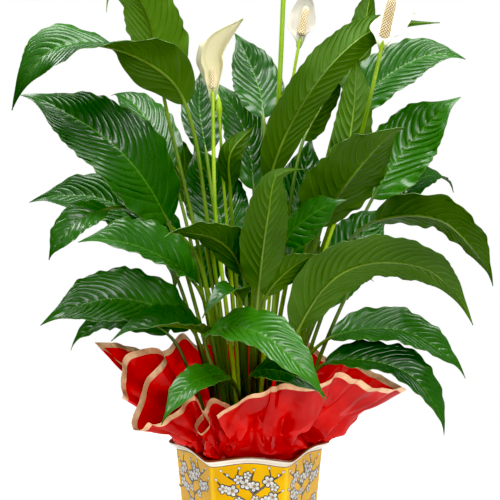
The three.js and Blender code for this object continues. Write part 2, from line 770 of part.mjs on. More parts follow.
const passing = [
  ...LEAVES.map(([name, , , , , , midrib]) => (STEM_BENDS[name] ?? midrib)[0]),
  ...[...BLOOMS, BUD].map(({ stalk }) => stalk[0]),
];
const feet = passing.map((place) => stemFoot(vector(place)));
spreadFeet(feet);
const holes = [];

LEAVES.forEach((row, k) => {
  const { geometry, hole } = leaf(row, feet[k]);
  addNode("leaf_" + row[0], geometry, COLOURS.leaf);
  holes.push(hole);
});

BLOOMS.forEach((bloom, k) => {
  const { spine, rings, hole, last } = stalkSpine(bloom, feet[LEAVES.length + k]);
  addNode("stalk_" + bloom.name, loft(rings), COLOURS.stalk);
  addNode("spathe_" + bloom.name, spathe(bloom, spine, last), COLOURS.spathe);
  addNode("spadix_" + bloom.name, spadix(bloom, spine, last), COLOURS.spadix);
  holes.push(hole);
});

const greenBud = bud(feet.at(-1));
addNode("bloom_" + BUD.name, greenBud.geometry, COLOURS.stalk);
holes.push(greenBud.hole);

addNode("soil", soil(holes), COLOURS.soil);
addNode("growers_pot", growersPot(), COLOURS.plastic);
addNode("wrap", wrap(), COLOURS.film);
addNode("pot", pot(), COLOURS.glaze);

export default plant;
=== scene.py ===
"""A potted peace lily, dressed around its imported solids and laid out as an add-on.

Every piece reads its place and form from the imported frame: a leaf follows the rings of its own
solid, the pot the profile of its solid, and so on. Metres, +Z up, -Y is the front.
"""

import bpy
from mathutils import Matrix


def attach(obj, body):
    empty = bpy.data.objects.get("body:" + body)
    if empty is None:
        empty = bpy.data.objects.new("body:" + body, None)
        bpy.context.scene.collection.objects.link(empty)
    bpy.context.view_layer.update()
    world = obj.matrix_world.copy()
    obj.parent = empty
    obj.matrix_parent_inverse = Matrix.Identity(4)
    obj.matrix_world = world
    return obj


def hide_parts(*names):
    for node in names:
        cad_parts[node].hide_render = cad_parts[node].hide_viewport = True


bl_info = {
    "name": "Potted peace lily",
    "version": (1, 0, 0),
    "blender": (4, 5, 0),
    "location": "3D View > Sidebar > Peace lily",
    "description": "Builds the leaves, blooms, wrap and pot of a potted peace lily",
    "category": "Object",
}

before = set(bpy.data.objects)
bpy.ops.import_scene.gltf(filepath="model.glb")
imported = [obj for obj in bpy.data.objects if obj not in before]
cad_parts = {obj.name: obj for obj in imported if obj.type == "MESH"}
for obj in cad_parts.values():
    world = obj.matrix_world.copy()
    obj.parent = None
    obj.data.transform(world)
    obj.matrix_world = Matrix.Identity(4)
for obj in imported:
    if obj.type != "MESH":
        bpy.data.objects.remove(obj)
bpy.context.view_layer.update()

import math
from contextlib import contextmanager

import bmesh
import bpy
import numpy as np
from bpy.props import FloatProperty, FloatVectorProperty, IntProperty, PointerProperty
from mathutils import Matrix, Vector

MM = 0.001
WELD = 1e-6  # vertices of a solid that are this close are one

LEAVES = sorted(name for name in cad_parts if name.startswith("leaf_"))
BLOOMS = ("cream", "tall", "white", "open")
STALKS = [f"stalk_{name}" for name in BLOOMS] + ["bloom_bud"]
# How far the youngest leaves have the fresh green, from 0 to 1
YOUNG = {
    "bright_front": 0.6,
    "right_bright": 0.45,
    "small_front": 0.4,
    "glossy_cup": 0.2,
    "arch_left": 0.15,
    "arch_top_left": 0.9,
}
STEM_RING = 6  # corners of a ring of a leaf's or a stalk's solid
BLOOM_RING = 10  # of a spathe's or a spadix's
POT_RING = 48  # of the pot's
NECK_RING = 4  # of a leaf's solid: where the stem ends and the blade begins

# ------------------------------------------------------------------ small tools


def deselect():
    """Goes to object mode, with nothing selected."""
    if bpy.context.object and bpy.context.object.mode != "OBJECT":
        bpy.ops.object.mode_set(mode="OBJECT")
    bpy.ops.object.select_all(action="DESELECT")


def take(*pieces):
    """Selects these pieces alone, the last one active."""
    deselect()
    for piece in pieces:
        piece.select_set(True)
    bpy.context.view_layer.objects.active = pieces[-1]


def added(name):
    """The object that the last operator added, under its own name."""
    piece = bpy.context.active_object
    piece.name = name
    piece.data.name = name
    return piece


def copied(piece, name):
    twin = piece.copy()
    twin.data = piece.data.copy()
    twin.name = name
    twin.data.name = name
    bpy.context.scene.collection.objects.link(twin)
    return twin


def joined(name, pieces):
    take(*pieces)
    bpy.ops.object.join()
    return added(name)


def discard(*pieces):
    """Takes away the patterns that copies were made of."""
    for piece in pieces:
        bpy.data.objects.remove(piece)


def modified(piece, kind, **settings):
    """Gives a piece a modifier and applies it."""
    take(piece)
    modifier = piece.modifiers.new(kind.title(), kind)
    for key, value in settings.items():
        setattr(modifier, key, value)
    bpy.ops.object.modifier_apply(modifier=modifier.name)
    return piece


@contextmanager
def editing(piece):
    """Edit mode with all of the piece selected. At the end its faces are turned outwards."""
    take(piece)
    bpy.ops.object.mode_set(mode="EDIT")
    bpy.ops.mesh.select_all(action="SELECT")
    yield
    bpy.ops.mesh.select_all(action="SELECT")
    bpy.ops.mesh.normals_make_consistent(inside=False)
    bpy.ops.object.mode_set(mode="OBJECT")


def smoothed(piece, degrees=60):
    take(piece)
    bpy.ops.object.shade_smooth_by_angle(angle=math.radians(degrees))
    return piece


def dressed(piece, *materials):
    """Gives a piece its materials. This comes before its faces are painted."""
    piece.data.materials.clear()
    for material in materials:
        piece.data.materials.append(material)
    return piece


def placed(piece, slot, *nodes):
    """Puts a finished piece on the plant, in the stead of its solids."""
    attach(piece, "root")
    if nodes:
        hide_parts(*nodes)


def unit(vectors):
    """The vectors, each made as long as one."""
    return vectors / np.maximum(np.linalg.norm(vectors, axis=-1, keepdims=True), 1e-12)


def ease(values, low, high):
    """0 up to low and 1 from high on, with a soft rise between."""
    share = np.clip((np.asarray(values, float) - low) / (high - low), 0, 1)
    return share * share * (3 - 2 * share)


def smooth(knots, values, at):
    """A smooth curve through the values at the knots, read at the given places."""
    knots, values = np.asarray(knots, float), np.asarray(values, float)
    slopes = np.gradient(values, knots, axis=0)
    k = np.clip(np.searchsorted(knots, at, side="right") - 1, 0, len(knots) - 2)
    step = knots[k + 1] - knots[k]
    t = (at - knots[k]) / step
    if values.ndim > 1:
        t, step = t[..., None], step[..., None]
    rise = values[k + 1] - values[k]
    bend = slopes[k] * step
    into = slopes[k + 1] * step
    return values[k] + t * (bend + t * (3 * rise - 2 * bend - into + t * (bend + into - 2 * rise)))


def lengths_along(points):
    """How far each point lies along the line through them, from 0 to 1, and the line's length."""
    steps = np.linalg.norm(np.diff(points, axis=0), axis=1)
    far = np.concatenate([[0], np.cumsum(steps)])
    return far / far[-1], far[-1]


# ------------------------------------------------------------------ reading the solids


def linked(vertex):
    return [edge.other_vert(vertex) for edge in vertex.link_edges]


def loft_layers(solid, around):
    """The rings of a lofted solid, lowest first, with the middle of the cap at either end."""
    for start in sorted(solid.verts, key=lambda v: v.co.z):
        nearest = sorted(linked(start), key=lambda v: (v.co - start.co).length)
        layers = [[start], nearest[:around]]
        seen = {start, *layers[1]}
        while layers[-1]:
            following = dict.fromkeys(v for w in layers[-1] for v in linked(w) if v not in seen)
            if len(following) == around + 1:  # the far cap's middle has come along
                cap = max(following, key=lambda v: len(v.link_edges))
                del following[cap]
            layers.append(list(following))
            seen.update(layers[-1])
        layers.pop()
        if len(layers[-1]) > 1 and len(seen) == len(solid.verts) - 1:
            layers.append([v for v in solid.verts if v not in seen])
        if all(len(layer) == around for layer in layers[1:-1]) and len(seen) > len(solid.verts) - 2:
            return layers
    raise RuntimeError(f"a solid isn't a loft of rings of {around}")


def ring_in_order(ring, first, along):
    """A ring's vertices from the first one, anticlockwise about the way the loft travels."""
    order, turned = [first], False
    while len(order) < len(ring):
        rest = [v for v in ring if v not in order]
        following = [v for v in linked(order[-1]) if v in rest]
        if not following and not turned:  # the cap took an edge of the ring: go on from the other end
            order.reverse()
            turned = True
            continue
        order.append(min(following or rest, key=lambda v: (v.co - order[-1].co).length))
    start = order.index(first)
    points = np.array([v.co for v in order[start:] + order[:start]])
    spokes = points - points.mean(0)
    if np.cross(spokes, np.roll(spokes, -1, axis=0)).sum(0) @ along < 0:
        points = np.concatenate([points[:1], points[:0:-1]])
    return points


def loft_rings(node, around):
    """The rings of a lofted solid from its root to its tip, as an array of points.

    The first corner of a ring has the most edges towards the next ring and the fewest back.
    """
    solid = bmesh.new()
    solid.from_mesh(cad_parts[node].data)
    bmesh.ops.remove_doubles(solid, verts=solid.verts, dist=WELD)
    layers = loft_layers(solid, around)
    means = [np.mean([v.co for v in layer], axis=0) for layer in layers]
    found = []
    for k, (behind, ring, ahead) in enumerate(zip(layers, layers[1:], layers[2:])):
        leans = [sum((w in ahead) - (w in behind) for w in linked(v)) for v in ring]
        first = ring[int(np.argmax(leans))]
        found.append(ring_in_order(ring, first, means[k + 2] - means[k]))
    solid.free()
    return np.array(found)


# ------------------------------------------------------------------ patterns laid along a form


def cut_grid(name, across, along):
    """A flat grid, cut once: its UV runs from 0 to 1 each way."""
    deselect()
    bpy.ops.mesh.primitive_grid_add(x_subdivisions=across, y_subdivisions=along, size=2)
    return added(name)


def places_of(piece):
    """Each vertex's place, as an array."""
    points = np.empty(len(piece.data.vertices) * 3)
    piece.data.vertices.foreach_get("co", points)
    return points.reshape(-1, 3)


def grid_places(piece):
    """Each vertex's place on a flat grid: across and along, both from -1 to 1."""
    flat = places_of(piece)
    return flat[:, 0], flat[:, 1]


def reshape(piece, points):
    piece.data.vertices.foreach_set("co", np.asarray(points, float).ravel())
    piece.data.update()


def write_uv(piece, u, v):
    """Gives each corner of the mesh the UV of its vertex."""
    loops = np.empty(len(piece.data.loops), int)
    piece.data.loops.foreach_get("vertex_index", loops)
    piece.data.uv_layers[0].data.foreach_set("uv", np.stack([u[loops], v[loops]], 1).ravel())


def welded(piece, distance=2e-5):
    """Merges a rolled grid's seam and its pointed ends, and turns its faces outwards."""
    with editing(piece):
        bpy.ops.mesh.remove_doubles(threshold=distance)
    return piece


def frames_along(knots, places, sides, faces, at):
    """Place, side and face of a line at the given shares of its length."""
    place = smooth(knots, places, at)
    face = unit(smooth(knots, faces, at))
    side = smooth(knots, sides, at)
    side = unit(side - face * (side * face).sum(1)[:, None])
    return place, side, face


def rod_form(node, around):
    """Middles and radii of a round solid's rings, how far along they lie, and its length."""
    rings = loft_rings(node, around)
    places = rings.mean(1)
    knots, length = lengths_along(places)
    return places, np.linalg.norm(rings - places[:, None], axis=2).mean(1), knots, length


def tube(pattern, name, knots, places, sides, faces, radii, drop=None):
    """Rolls a copy of the grid into a tube along a line, lowered by drop at each share of it."""
    piece = copied(pattern, name)
    across, along = grid_places(piece)
    share = (along + 1) / 2
    place, side, face = frames_along(knots, places, sides, faces, share)
    radius = np.interp(share, knots, radii) * np.where(np.abs(along) > 1 - 1e-6, 0, 1)
    turn = np.pi * across
    rise = radius * np.sin(turn) - (drop(share) if drop else 0)
    reshape(piece, place + side * (radius * np.cos(turn))[:, None] + face * rise[:, None])
    write_uv(piece, across, share)
    return welded(piece)


# ------------------------------------------------------------------ finishes


class Finish:
    """A material wired by short calls. Those that make a value or a colour return its socket."""

    def __init__(self, name, **sockets):
        self.material = bpy.data.materials.new(name)
        self.material.use_nodes = True
        self.tree = self.material.node_tree
        self.shader = self.tree.nodes["Principled BSDF"]
        for label, value in sockets.items():
            self.feed(self.shader.inputs[label.replace("_", " ").title().replace("Ior", "IOR")], value)

    def feed(self, socket, value):
        if isinstance(value, bpy.types.NodeSocket):
            self.tree.links.new(value, socket)
        elif socket.type == "RGBA":
            socket.default_value = (*value, 1)
        else:
            socket.default_value = value

    def node(self, kind, inputs=(), **settings):
        made = self.tree.nodes.new(f"ShaderNode{kind}")
        for key, value in settings.items():
            setattr(made, key, value)
        for key, value in dict(inputs).items():
            self.feed(made.inputs[key], value)
        return made

    def uv(self):
        """The two parts of the piece's own UV map."""
        parts = self.node("SeparateXYZ", {0: self.node("TexCoord").outputs["UV"]})
        return parts.outputs[0], parts.outputs[1]

    def place(self):
        return self.node("TexCoord").outputs["Object"]

    def attribute(self, name):
        return self.node("Attribute", attribute_name=name).outputs["Fac"]

    def noise(self, scale, detail):
        inputs = {"Vector": self.place(), "Scale": scale, "Detail": detail}
        return self.node("TexNoise", inputs).outputs["Fac"]

    def math(self, operation, a, b=0.0, c=0.0):
        return self.node("Math", {0: a, 1: b, 2: c}, operation=operation).outputs[0]

    def times(self, a, b):
        return self.math("MULTIPLY", a, b)

    def plus(self, a, b):
        return self.math("ADD", a, b)

    def zigzag(self, value):
        """0 at each whole number and a half midway between them."""
        return self.math("PINGPONG", value, 0.5)

    def step(self, value, low, high):
        """0 below low and 1 above high, with a soft step between. high may be the lower one."""
        inputs = {"Value": value, "From Min": low, "From Max": high}
        return self.node("MapRange", inputs, interpolation_type="SMOOTHSTEP").outputs[0]

    def mix(self, share, a, b):
        made = self.node("Mix", data_type="RGBA")
        self.feed(made.inputs[0], share)
        self.feed(made.inputs[6], a)
        self.feed(made.inputs[7], b)
        return made.outputs[2]

    def patchy(self, scale, detail, low, high, a, b):
        """Colour a, with patches of colour b where a noise rises from low to high."""
        return self.mix(self.step(self.noise(scale, detail), low, high), a, b)

    def colour(self, value):
        self.feed(self.shader.inputs["Base Color"], value)

    def bump(self, height, distance):
        made = self.node("Bump", {"Height": height, "Distance": distance, "Strength": 1.0})
        self.feed(self.shader.inputs["Normal"], made.outputs[0])

    def ribs(self, count):
        """Fine ribs along a stem."""
        across, _ = self.uv()
        waves = self.math("SINE", self.times(across, count))
        self.bump(self.plus(self.times(waves, 0.4), self.noise(240, 2)), 0.0002)

    def lit_from_behind(self, colour, share):
        """Mixes in light that comes through the piece."""
        through = self.node("BsdfTranslucent", {"Color": colour})
        both = self.node("MixShader", {0: share, 1: self.shader.outputs[0], 2: through.outputs[0]})
        self.feed(self.tree.nodes["Material Output"].inputs[0], both.outputs[0])


def leaf_veins(finish):
    """How far a place is from a side vein and from the midrib, and where among the veins."""
    across, phase = finish.uv()
    return finish.zigzag(phase), finish.math("ABSOLUTE", across), phase


def leaf_upper(settings):
    finish = Finish("leaf_upper", specular_ior_level=0.36)
    pleat, away, phase = leaf_veins(finish)
    green = finish.patchy(5.5, 2, 0.35, 0.65, settings.upper_dark, settings.upper_light)
    green = finish.mix(finish.attribute("fresh"), green, settings.upper_fresh)
    mottle = finish.step(finish.noise(60, 4), 0.35, 0.75)
    green = finish.mix(finish.times(mottle, 0.3), green, settings.upper_light)
    green = finish.mix(finish.times(finish.step(pleat, 0.08, 0.0), 0.25), green, settings.vein)
    green = finish.mix(finish.times(finish.step(away, 0.03, 0.012), 0.8), green, settings.vein)
    margin = finish.times(finish.step(away, 0.975, 0.995), 0.35)
    finish.colour(finish.mix(margin, green, settings.margin))
    dull = finish.math("MULTIPLY_ADD", finish.noise(45, 3), 0.12, 0.22)
    finish.feed(finish.shader.inputs["Roughness"], dull)
    fine = finish.zigzag(finish.times(phase, 4.0))
    finish.bump(finish.plus(fine, finish.noise(26, 2)), 0.00008)
    return finish.material


def leaf_under(settings):
    finish = Finish("leaf_under", roughness=0.55, specular_ior_level=0.2)
    pleat, away, phase = leaf_veins(finish)
    green = finish.patchy(6, 2, 0.35, 0.65, settings.under_dark, settings.under_light)
    green = finish.mix(finish.attribute("fresh"), green, settings.under_fresh)
    green = finish.mix(finish.times(finish.step(pleat, 0.1, 0.0), 0.2), green, settings.under_vein)
    rib = finish.times(finish.step(away, 0.05, 0.015), 0.8)
    finish.colour(finish.mix(rib, green, settings.under_vein))
    fine = finish.zigzag(finish.times(phase, 5.0))
    raised = finish.plus(finish.step(pleat, 0.14, 0.0), finish.times(fine, 0.3))
    finish.bump(finish.plus(raised, finish.times(finish.noise(300, 2), 0.4)), 0.0002)
    return finish.material


def leaf_margin(settings):
    finish = Finish("leaf_margin", roughness=0.5)
    finish.colour(finish.patchy(90, 2, 0.3, 0.7, settings.margin, settings.upper_light))
    return finish.material


def stem_skin(settings):
    finish = Finish("stem_skin", roughness=0.38)
    green = finish.patchy(7, 2, 0.3, 0.7, settings.stem_dark, settings.stem_light)
    green = finish.mix(finish.times(finish.noise(130, 3), 0.35), green, settings.stem_dark)
    height = finish.node("SeparateXYZ", {0: finish.place()}).outputs[2]
    # Darker towards the soil: painted shade on the lower stems
    foot = finish.times(finish.step(height, 0.56, 0.3), 0.85)
    finish.colour(finish.mix(foot, green, settings.stem_painted_shade))
    finish.ribs(34.0)
    return finish.material


def stalk_skin(settings):
    finish = Finish("stalk_skin", roughness=0.35)
    finish.colour(finish.patchy(9, 2, 0.3, 0.7, settings.stalk_dark, settings.stalk_light))
    finish.ribs(28.0)
    return finish.material


def spathe_skin(name, pale, flushed, green):
    """A pale bract that turns green at its foot, its tip and along its middle."""
    finish = Finish(name, roughness=0.5)
    across, along = finish.uv()
    foot = finish.step(along, 0.22, 0.0)
    tip = finish.step(along, 0.94, 1.0)
    rib = finish.times(finish.step(finish.math("ABSOLUTE", across), 0.07, 0.0), 0.35)
    greened = finish.math("MAXIMUM", finish.math("MAXIMUM", foot, tip), rib)
    soft = finish.mix(finish.times(finish.noise(30, 3), 0.25), pale, flushed)
    finish.colour(finish.mix(finish.times(greened, 0.75), soft, green))
    veins = finish.zigzag(finish.times(across, 9.0))
    finish.bump(finish.plus(veins, finish.times(finish.noise(200, 2), 0.5)), 0.0005)
    finish.lit_from_behind(pale, 0.15)
    return finish.material


def spadix_skin(settings):
    """Cream florets, with painted shade in the gaps between their crossing spirals."""
    finish = Finish("spadix_skin", roughness=0.7)
    first, second = finish.uv()
    knob = finish.step(finish.times(finish.zigzag(first), finish.zigzag(second)), 0.01, 0.12)
    cream = finish.patchy(25, 2, 0.35, 0.65, settings.spadix_cream, settings.spadix_gold)
    finish.colour(finish.mix(knob, settings.spadix_shade, cream))
    finish.bump(finish.noise(900, 2), 0.0003)
    return finish.material


def film_skin(settings):
    finish = Finish("red_film", roughness=0.4, specular_ior_level=0.32)
    finish.colour(finish.patchy(14, 3, 0.3, 0.7, settings.film_deep, settings.film_bright))
    finish.bump(finish.noise(70, 3), 0.0002)
    finish.lit_from_behind(settings.film_bright, 0.45)
    return finish.material


def gold_skin(settings):
    finish = Finish("gold_ribbon", metallic=0.55, roughness=0.38)
    across, _ = finish.uv()
    finish.colour(finish.patchy(60, 3, 0.3, 0.7, settings.gold_deep, settings.gold_bright))
    finish.bump(finish.math("SINE", finish.times(across, 6000.0)), 0.0001)
    return finish.material


def glaze(name, colour, deep):
    finish = Finish(name, roughness=0.12, specular_ior_level=0.25)
    finish.colour(finish.patchy(12, 3, 0.3, 0.75, colour, deep))
    finish.bump(finish.noise(26, 2), 0.0006)
    return finish.material


def yellow_glaze(settings):
    """Yellow glaze, paler over the pot's upright edges, where it has a painted highlight."""
    finish = Finish("yellow_glaze", roughness=0.2, specular_ior_level=0.12)
    yellow = finish.patchy(9, 3, 0.3, 0.75, settings.glaze_yellow, settings.glaze_deep)
    # Paler yellow along the upright edges: painted highlight
    finish.colour(finish.mix(finish.attribute("edge_highlight"), yellow, settings.glaze_highlight))
    finish.bump(finish.noise(26, 2), 0.0006)
    return finish.material


def enamel(name, colour, shade):
    finish = Finish(name, roughness=0.3, specular_ior_level=0.2)
    finish.colour(finish.patchy(160, 3, 0.3, 0.75, colour, shade))
    finish.bump(finish.noise(300, 2), 0.0002)
    return finish.material


def potting_soil():
    finish = Finish("potting_soil", roughness=0.95)
    cells = finish.node("TexVoronoi", {"Vector": finish.place(), "Scale": 190.0})
    crumbs = cells.outputs["Distance"]
    brown = finish.patchy(70, 4, 0.3, 0.7, (0.012, 0.008, 0.005), (0.075, 0.048, 0.028))
    finish.colour(finish.mix(finish.step(crumbs, 0.0, 0.5), brown, (0.02, 0.013, 0.009)))
    finish.bump(finish.plus(crumbs, finish.noise(90, 4)), 0.006)
    return finish.material


def moulded_plastic():
    finish = Finish("moulded_plastic", roughness=0.55)
    finish.colour(finish.mix(finish.noise(20, 2), (0.012, 0.011, 0.01), (0.035, 0.032, 0.03)))
    finish.bump(finish.noise(700, 2), 0.0003)
    return finish.material


def studio_white():
    light = {"emission_color": (1, 1, 1), "emission_strength": 0.55}
    finish = Finish("studio_white", roughness=0.9, **light)
    finish.colour(finish.mix(finish.noise(2, 2), (0.8, 0.8, 0.8), (0.84, 0.84, 0.84)))
    return finish.material


# ------------------------------------------------------------------ settings


def number_of(name, text, default, **kind):
    return FloatProperty(name=name, description=text, default=default, **kind)


def length_of(name, text, default):
    return number_of(name, text, default, min=0, unit="LENGTH", precision=5)


def share_of(name, text, default):
    return number_of(name, text, default, min=0, max=1, subtype="FACTOR")


def colour_of(name, text, default):
    kind = {"size": 3, "min": 0, "max": 1, "subtype": "COLOR"}
    return FloatVectorProperty(name=name, description=text, default=default, **kind)


class PeaceLilyLeafSettings(bpy.types.PropertyGroup):
    """Sizes and colours of the leaves."""

    thickness: length_of("Thickness", "Thickness of a blade", 0.8 * MM)
    pleat_spacing: length_of("Pleat spacing", "From one side vein to the next", 18 * MM)
    pleat_height: length_of("Pleat height", "How far a pleat bulges between two veins", 3 * MM)
    pleat_sweep: number_of("Pleat sweep", "How far a vein runs on, of the half width", 1.6, min=0)
    camber: share_of("Camber", "How far each half of a blade bulges, of its half width", 0.22)
    ruffle: share_of("Ruffle", "Height of the margin's small waves, of the half width", 0.05)
    wave: share_of("Wave", "Height of the margin's long waves, of the half width", 0.06)
    base_fullness: share_of("Base fullness", "Exponent of the outline at the base", 0.55)
    tip_fullness: share_of("Tip fullness", "Exponent of the outline at the tip", 0.88)
    tail: share_of("Tail", "How much the outline narrows before the tip", 0.55)
    hook: share_of("Hook", "How far the tip hooks down, of the blade's length", 0.12)
    upper_dark: colour_of("Upper, dark", "Darker green of the upper side", (0.006, 0.034, 0.005))
    upper_light: colour_of("Upper, light", "Lighter green of the upper side", (0.018, 0.085, 0.008))
    upper_fresh: colour_of("Upper, fresh", "Green of young leaves", (0.045, 0.2, 0.012))
    under_dark: colour_of("Under, dark", "Darker green of the underside", (0.017, 0.056, 0.002))
    under_light: colour_of("Under, light", "Lighter green of the underside", (0.038, 0.1, 0.004))
    under_fresh: colour_of("Under, fresh", "Underside of young leaves", (0.13, 0.28, 0.025))
    under_vein: colour_of("Under, vein", "Veins of the underside", (0.14, 0.26, 0.03))
    vein: colour_of("Vein", "Midrib and side veins of the upper side", (0.07, 0.19, 0.02))
    margin: colour_of("Margin", "Thin pale margin", (0.16, 0.27, 0.06))
    stem_dark: colour_of("Stem, dark", "Darker green of the leaf stems", (0.045, 0.1, 0.006))
    # Painted shade: the darker green of the stems near the soil
    stem_painted_shade: colour_of("Stem, foot", "Green of the leaf stems near the soil", (0.022, 0.05, 0.003))
    stem_light: colour_of("Stem, light", "Lighter green of the leaf stems", (0.2, 0.34, 0.02))


class PeaceLilyBloomSettings(bpy.types.PropertyGroup):
    """Sizes and colours of the blooms."""

    thickness: length_of("Thickness", "Thickness of a spathe", 0.7 * MM)
    ruffle: share_of("Ruffle", "Height of the margin's waves, of the half width", 0.05)
    knob_spacing: length_of("Knob spacing", "Distance between florets round a spadix", 5.2 * MM)
    knob_height: length_of("Knob height", "How far a floret stands out", 1.2 * MM)
    spathe_white: colour_of("White spathe", "Open spathes", (0.73, 0.71, 0.64))
    white_flush: colour_of("White spathe, flush", "Its greener clouds", (0.62, 0.66, 0.48))
    spathe_cream: colour_of("Cream spathe", "The rolled spathe", (0.93, 0.88, 0.6))
    cream_flush: colour_of("Cream spathe, flush", "Its paler clouds", (0.84, 0.82, 0.6))
    spathe_green: colour_of("Spathe, green", "Foot, tip and rib of a spathe", (0.42, 0.58, 0.16))
    spadix_cream: colour_of("Spadix, cream", "Paler florets", (0.98, 0.92, 0.72))
    spadix_gold: colour_of("Spadix, gold", "Darker florets", (0.93, 0.8, 0.5))
    # Painted shade in the gaps between the florets
    spadix_shade: colour_of("Spadix, gaps", "Between the florets", (0.42, 0.27, 0.07))
    stalk_dark: colour_of("Stalk, dark", "Darker green of the flower stalks", (0.16, 0.32, 0.01))
    stalk_light: colour_of("Stalk, light", "Lighter green of the flower stalks", (0.34, 0.52, 0.02))


class PeaceLilyWrapSettings(bpy.types.PropertyGroup):
    """Sizes and colours of the film wrap."""

    thickness: length_of("Thickness", "Thickness of the film", 0.4 * MM)
    ribbon: length_of("Ribbon", "Width of the gold band along the edge", 4.5 * MM)
    crumple: length_of("Crumple", "Height of the large creased folds", 18 * MM)
    ruck: length_of("Ruck", "Height of the small creased facets", 5.5 * MM)
    gathers: IntProperty(name="Gathers", description="Folds round the neck", default=38, min=4, max=60)
    gather_height: length_of("Gather height", "Height of the folds at the neck", 3 * MM)
    film_bright: colour_of("Film, bright", "Lit film", (0.82, 0.012, 0.008))
    film_deep: colour_of("Film, deep", "Film in its own shade", (0.5, 0.004, 0.004))
    gold_bright: colour_of("Gold, bright", "Lit ribbon", (0.76, 0.48, 0.28))
    gold_deep: colour_of("Gold, deep", "Ribbon in shade", (0.55, 0.3, 0.15))


class PeaceLilyPotSettings(bpy.types.PropertyGroup):
    """Sizes and colours of the outer pot."""

    corner_round: length_of("Corner rounding", "How far an upright edge is rounded off", 2.2 * MM)
    line: length_of("Line", "Dark line under the rim", 1.3 * MM)
    relief: length_of("Relief", "How far the enamel stands out", 0.35 * MM)
    glaze_yellow: colour_of("Yellow glaze", "Body of the pot", (0.7, 0.39, 0.0))
    glaze_deep: colour_of("Deep glaze", "Where the glaze is thicker", (0.55, 0.28, 0.0))
    # Painted highlight: the paler yellow along the upright edges
    glaze_highlight: colour_of("Thin glaze", "Over the upright edges", (0.88, 0.58, 0.03))


class PeaceLilyStageSettings(bpy.types.PropertyGroup):
    """The studio round the plant."""

    lens: number_of("Lens", "Focal length in millimetres", 105, min=10)
    sky: share_of("Sky", "Light of the white surroundings", 0.16)
    haze: share_of("Haze", "Light taken off the darks", 0.014)
    key: number_of("Key", "Power of the main lamp in watts", 60, min=0)
    down: number_of("Down", "How far the camera looks down", math.radians(8.8), subtype="ANGLE")
    camera: FloatVectorProperty(
        name="Camera",
        description="Place of the camera",
        default=(0.0014, -2.5, 0.986),
        subtype="XYZ",
        unit="LENGTH",
    )


# ------------------------------------------------------------------ leaves


BLADE_GRID = (18, 240)  # faces across and along
STEM_GRID = (10, 64)
SCALLOP = 0.022  # how far the margin bows out between two veins, of the half width
LEAST_HALF = 0.9 * MM  # half the width of a blade's very tip
LEAST_RADIUS = 0.35 * MM  # of a midrib
UNDER = 0.15 * MM  # how far a midrib stays below its blade
MOST_LAG = 0.3  # of a blade's length: how far a side vein may run on towards the tip
LEAST_VEINS = 7
BROAD_HALF = 40 * MM  # from this half width on, pleats have their full height


def leaf_form(node):
    """The line, width and fold of a leaf, read from the rings of its solid."""
    rings = loft_rings(node, STEM_RING)
    left, middle, right, below = rings[:, 0], rings[:, 1], rings[:, 2], rings[:, 4]
    places = middle.copy()
    places[: NECK_RING + 1] = rings[: NECK_RING + 1].mean(1)
    faces = unit(middle - below)
    sides = unit(right - left)
    halves = np.linalg.norm(right - left, axis=1) / 2
    broad = slice(NECK_RING + 3, NECK_RING + 7)
    lifted = (((left + right) / 2 - middle) * faces).sum(1)
    fold = (lifted / halves)[broad].mean()
    return places, sides, faces, halves, fold


def blade_outline(share, settings):
    """Half width along a blade, from 0 to 1: blunt at the base and drawn out at the tip."""
    a, b = settings.base_fullness, settings.tip_fullness
    peak = a / (a + b)
    shape = share**a * (1 - share) ** b / (peak**a * (1 - peak) ** b)
    return shape * (1 - settings.tail * ease(share, 0.72, 0.96))


def tip_hook(share, length, settings):
    """How far the tip of a blade bends down at the given shares of its length."""
    return settings.hook * length * ease(share, 0.8, 1.1) ** 2


def lay_blade(piece, form, settings, rng):
    """Bends a copy of the flat blade to a leaf's form, with its pleats and its waved margin."""
    places, sides, faces, halves, fold = form
    knots, length = lengths_along(places[NECK_RING:])
    across, along = grid_places(piece)
    away = np.abs(across)
    widest = halves.max()
    rows = (along + 1) / 2
    lag = min(MOST_LAG, settings.pleat_sweep * widest / length) * away**1.4
    share = rows + lag * np.minimum(1, np.minimum(rows / 0.12, (1 - rows) / 0.45))
    place, side, face = frames_along(
        knots, places[NECK_RING:], sides[NECK_RING:], faces[NECK_RING:], share
    )
    veins = max(LEAST_VEINS, round(length / settings.pleat_spacing))
    phase = veins * rows + np.where(across > 0, 0.5, 0)
    scallop = SCALLOP * np.sin(2 * np.pi * phase)
    scallop *= ease(share, 0.05, 0.2) * (1 - ease(share, 0.75, 0.92))
    half = np.maximum(widest * blade_outline(share, settings) * (1 + scallop), LEAST_HALF)
    shift = np.where(across > 0, rng.uniform(0, 1), rng.uniform(0, 1))
    few, many = rng.uniform(2.8, 4.2), rng.uniform(7, 10)
    calm = ease(share, 0.02, 0.14) * (1 - ease(share, 0.84, 0.98))
    waves = settings.wave * np.sin(2 * np.pi * (few * share + shift))
    waves += settings.ruffle * np.sin(2 * np.pi * (many * share + 1.7 * shift))
    pillow = np.abs(np.sin(np.pi * phase)) ** 0.8 - 0.6
    quilt = settings.pleat_height * np.minimum(1, (half / BROAD_HALF) ** 1.5) * pillow
    quilt *= ease(away, 0.02, 0.16) * np.sqrt(np.maximum(1 - away, 0)) * calm
    bulge = settings.camber * (away - away**2)
    rise = half * (fold * away + bulge + waves * calm * away**2.2) + quilt
    rise -= tip_hook(share, length, settings)
    reshape(piece, place + side * (across * half)[:, None] + face * rise[:, None])
    write_uv(piece, across, phase)
    return piece


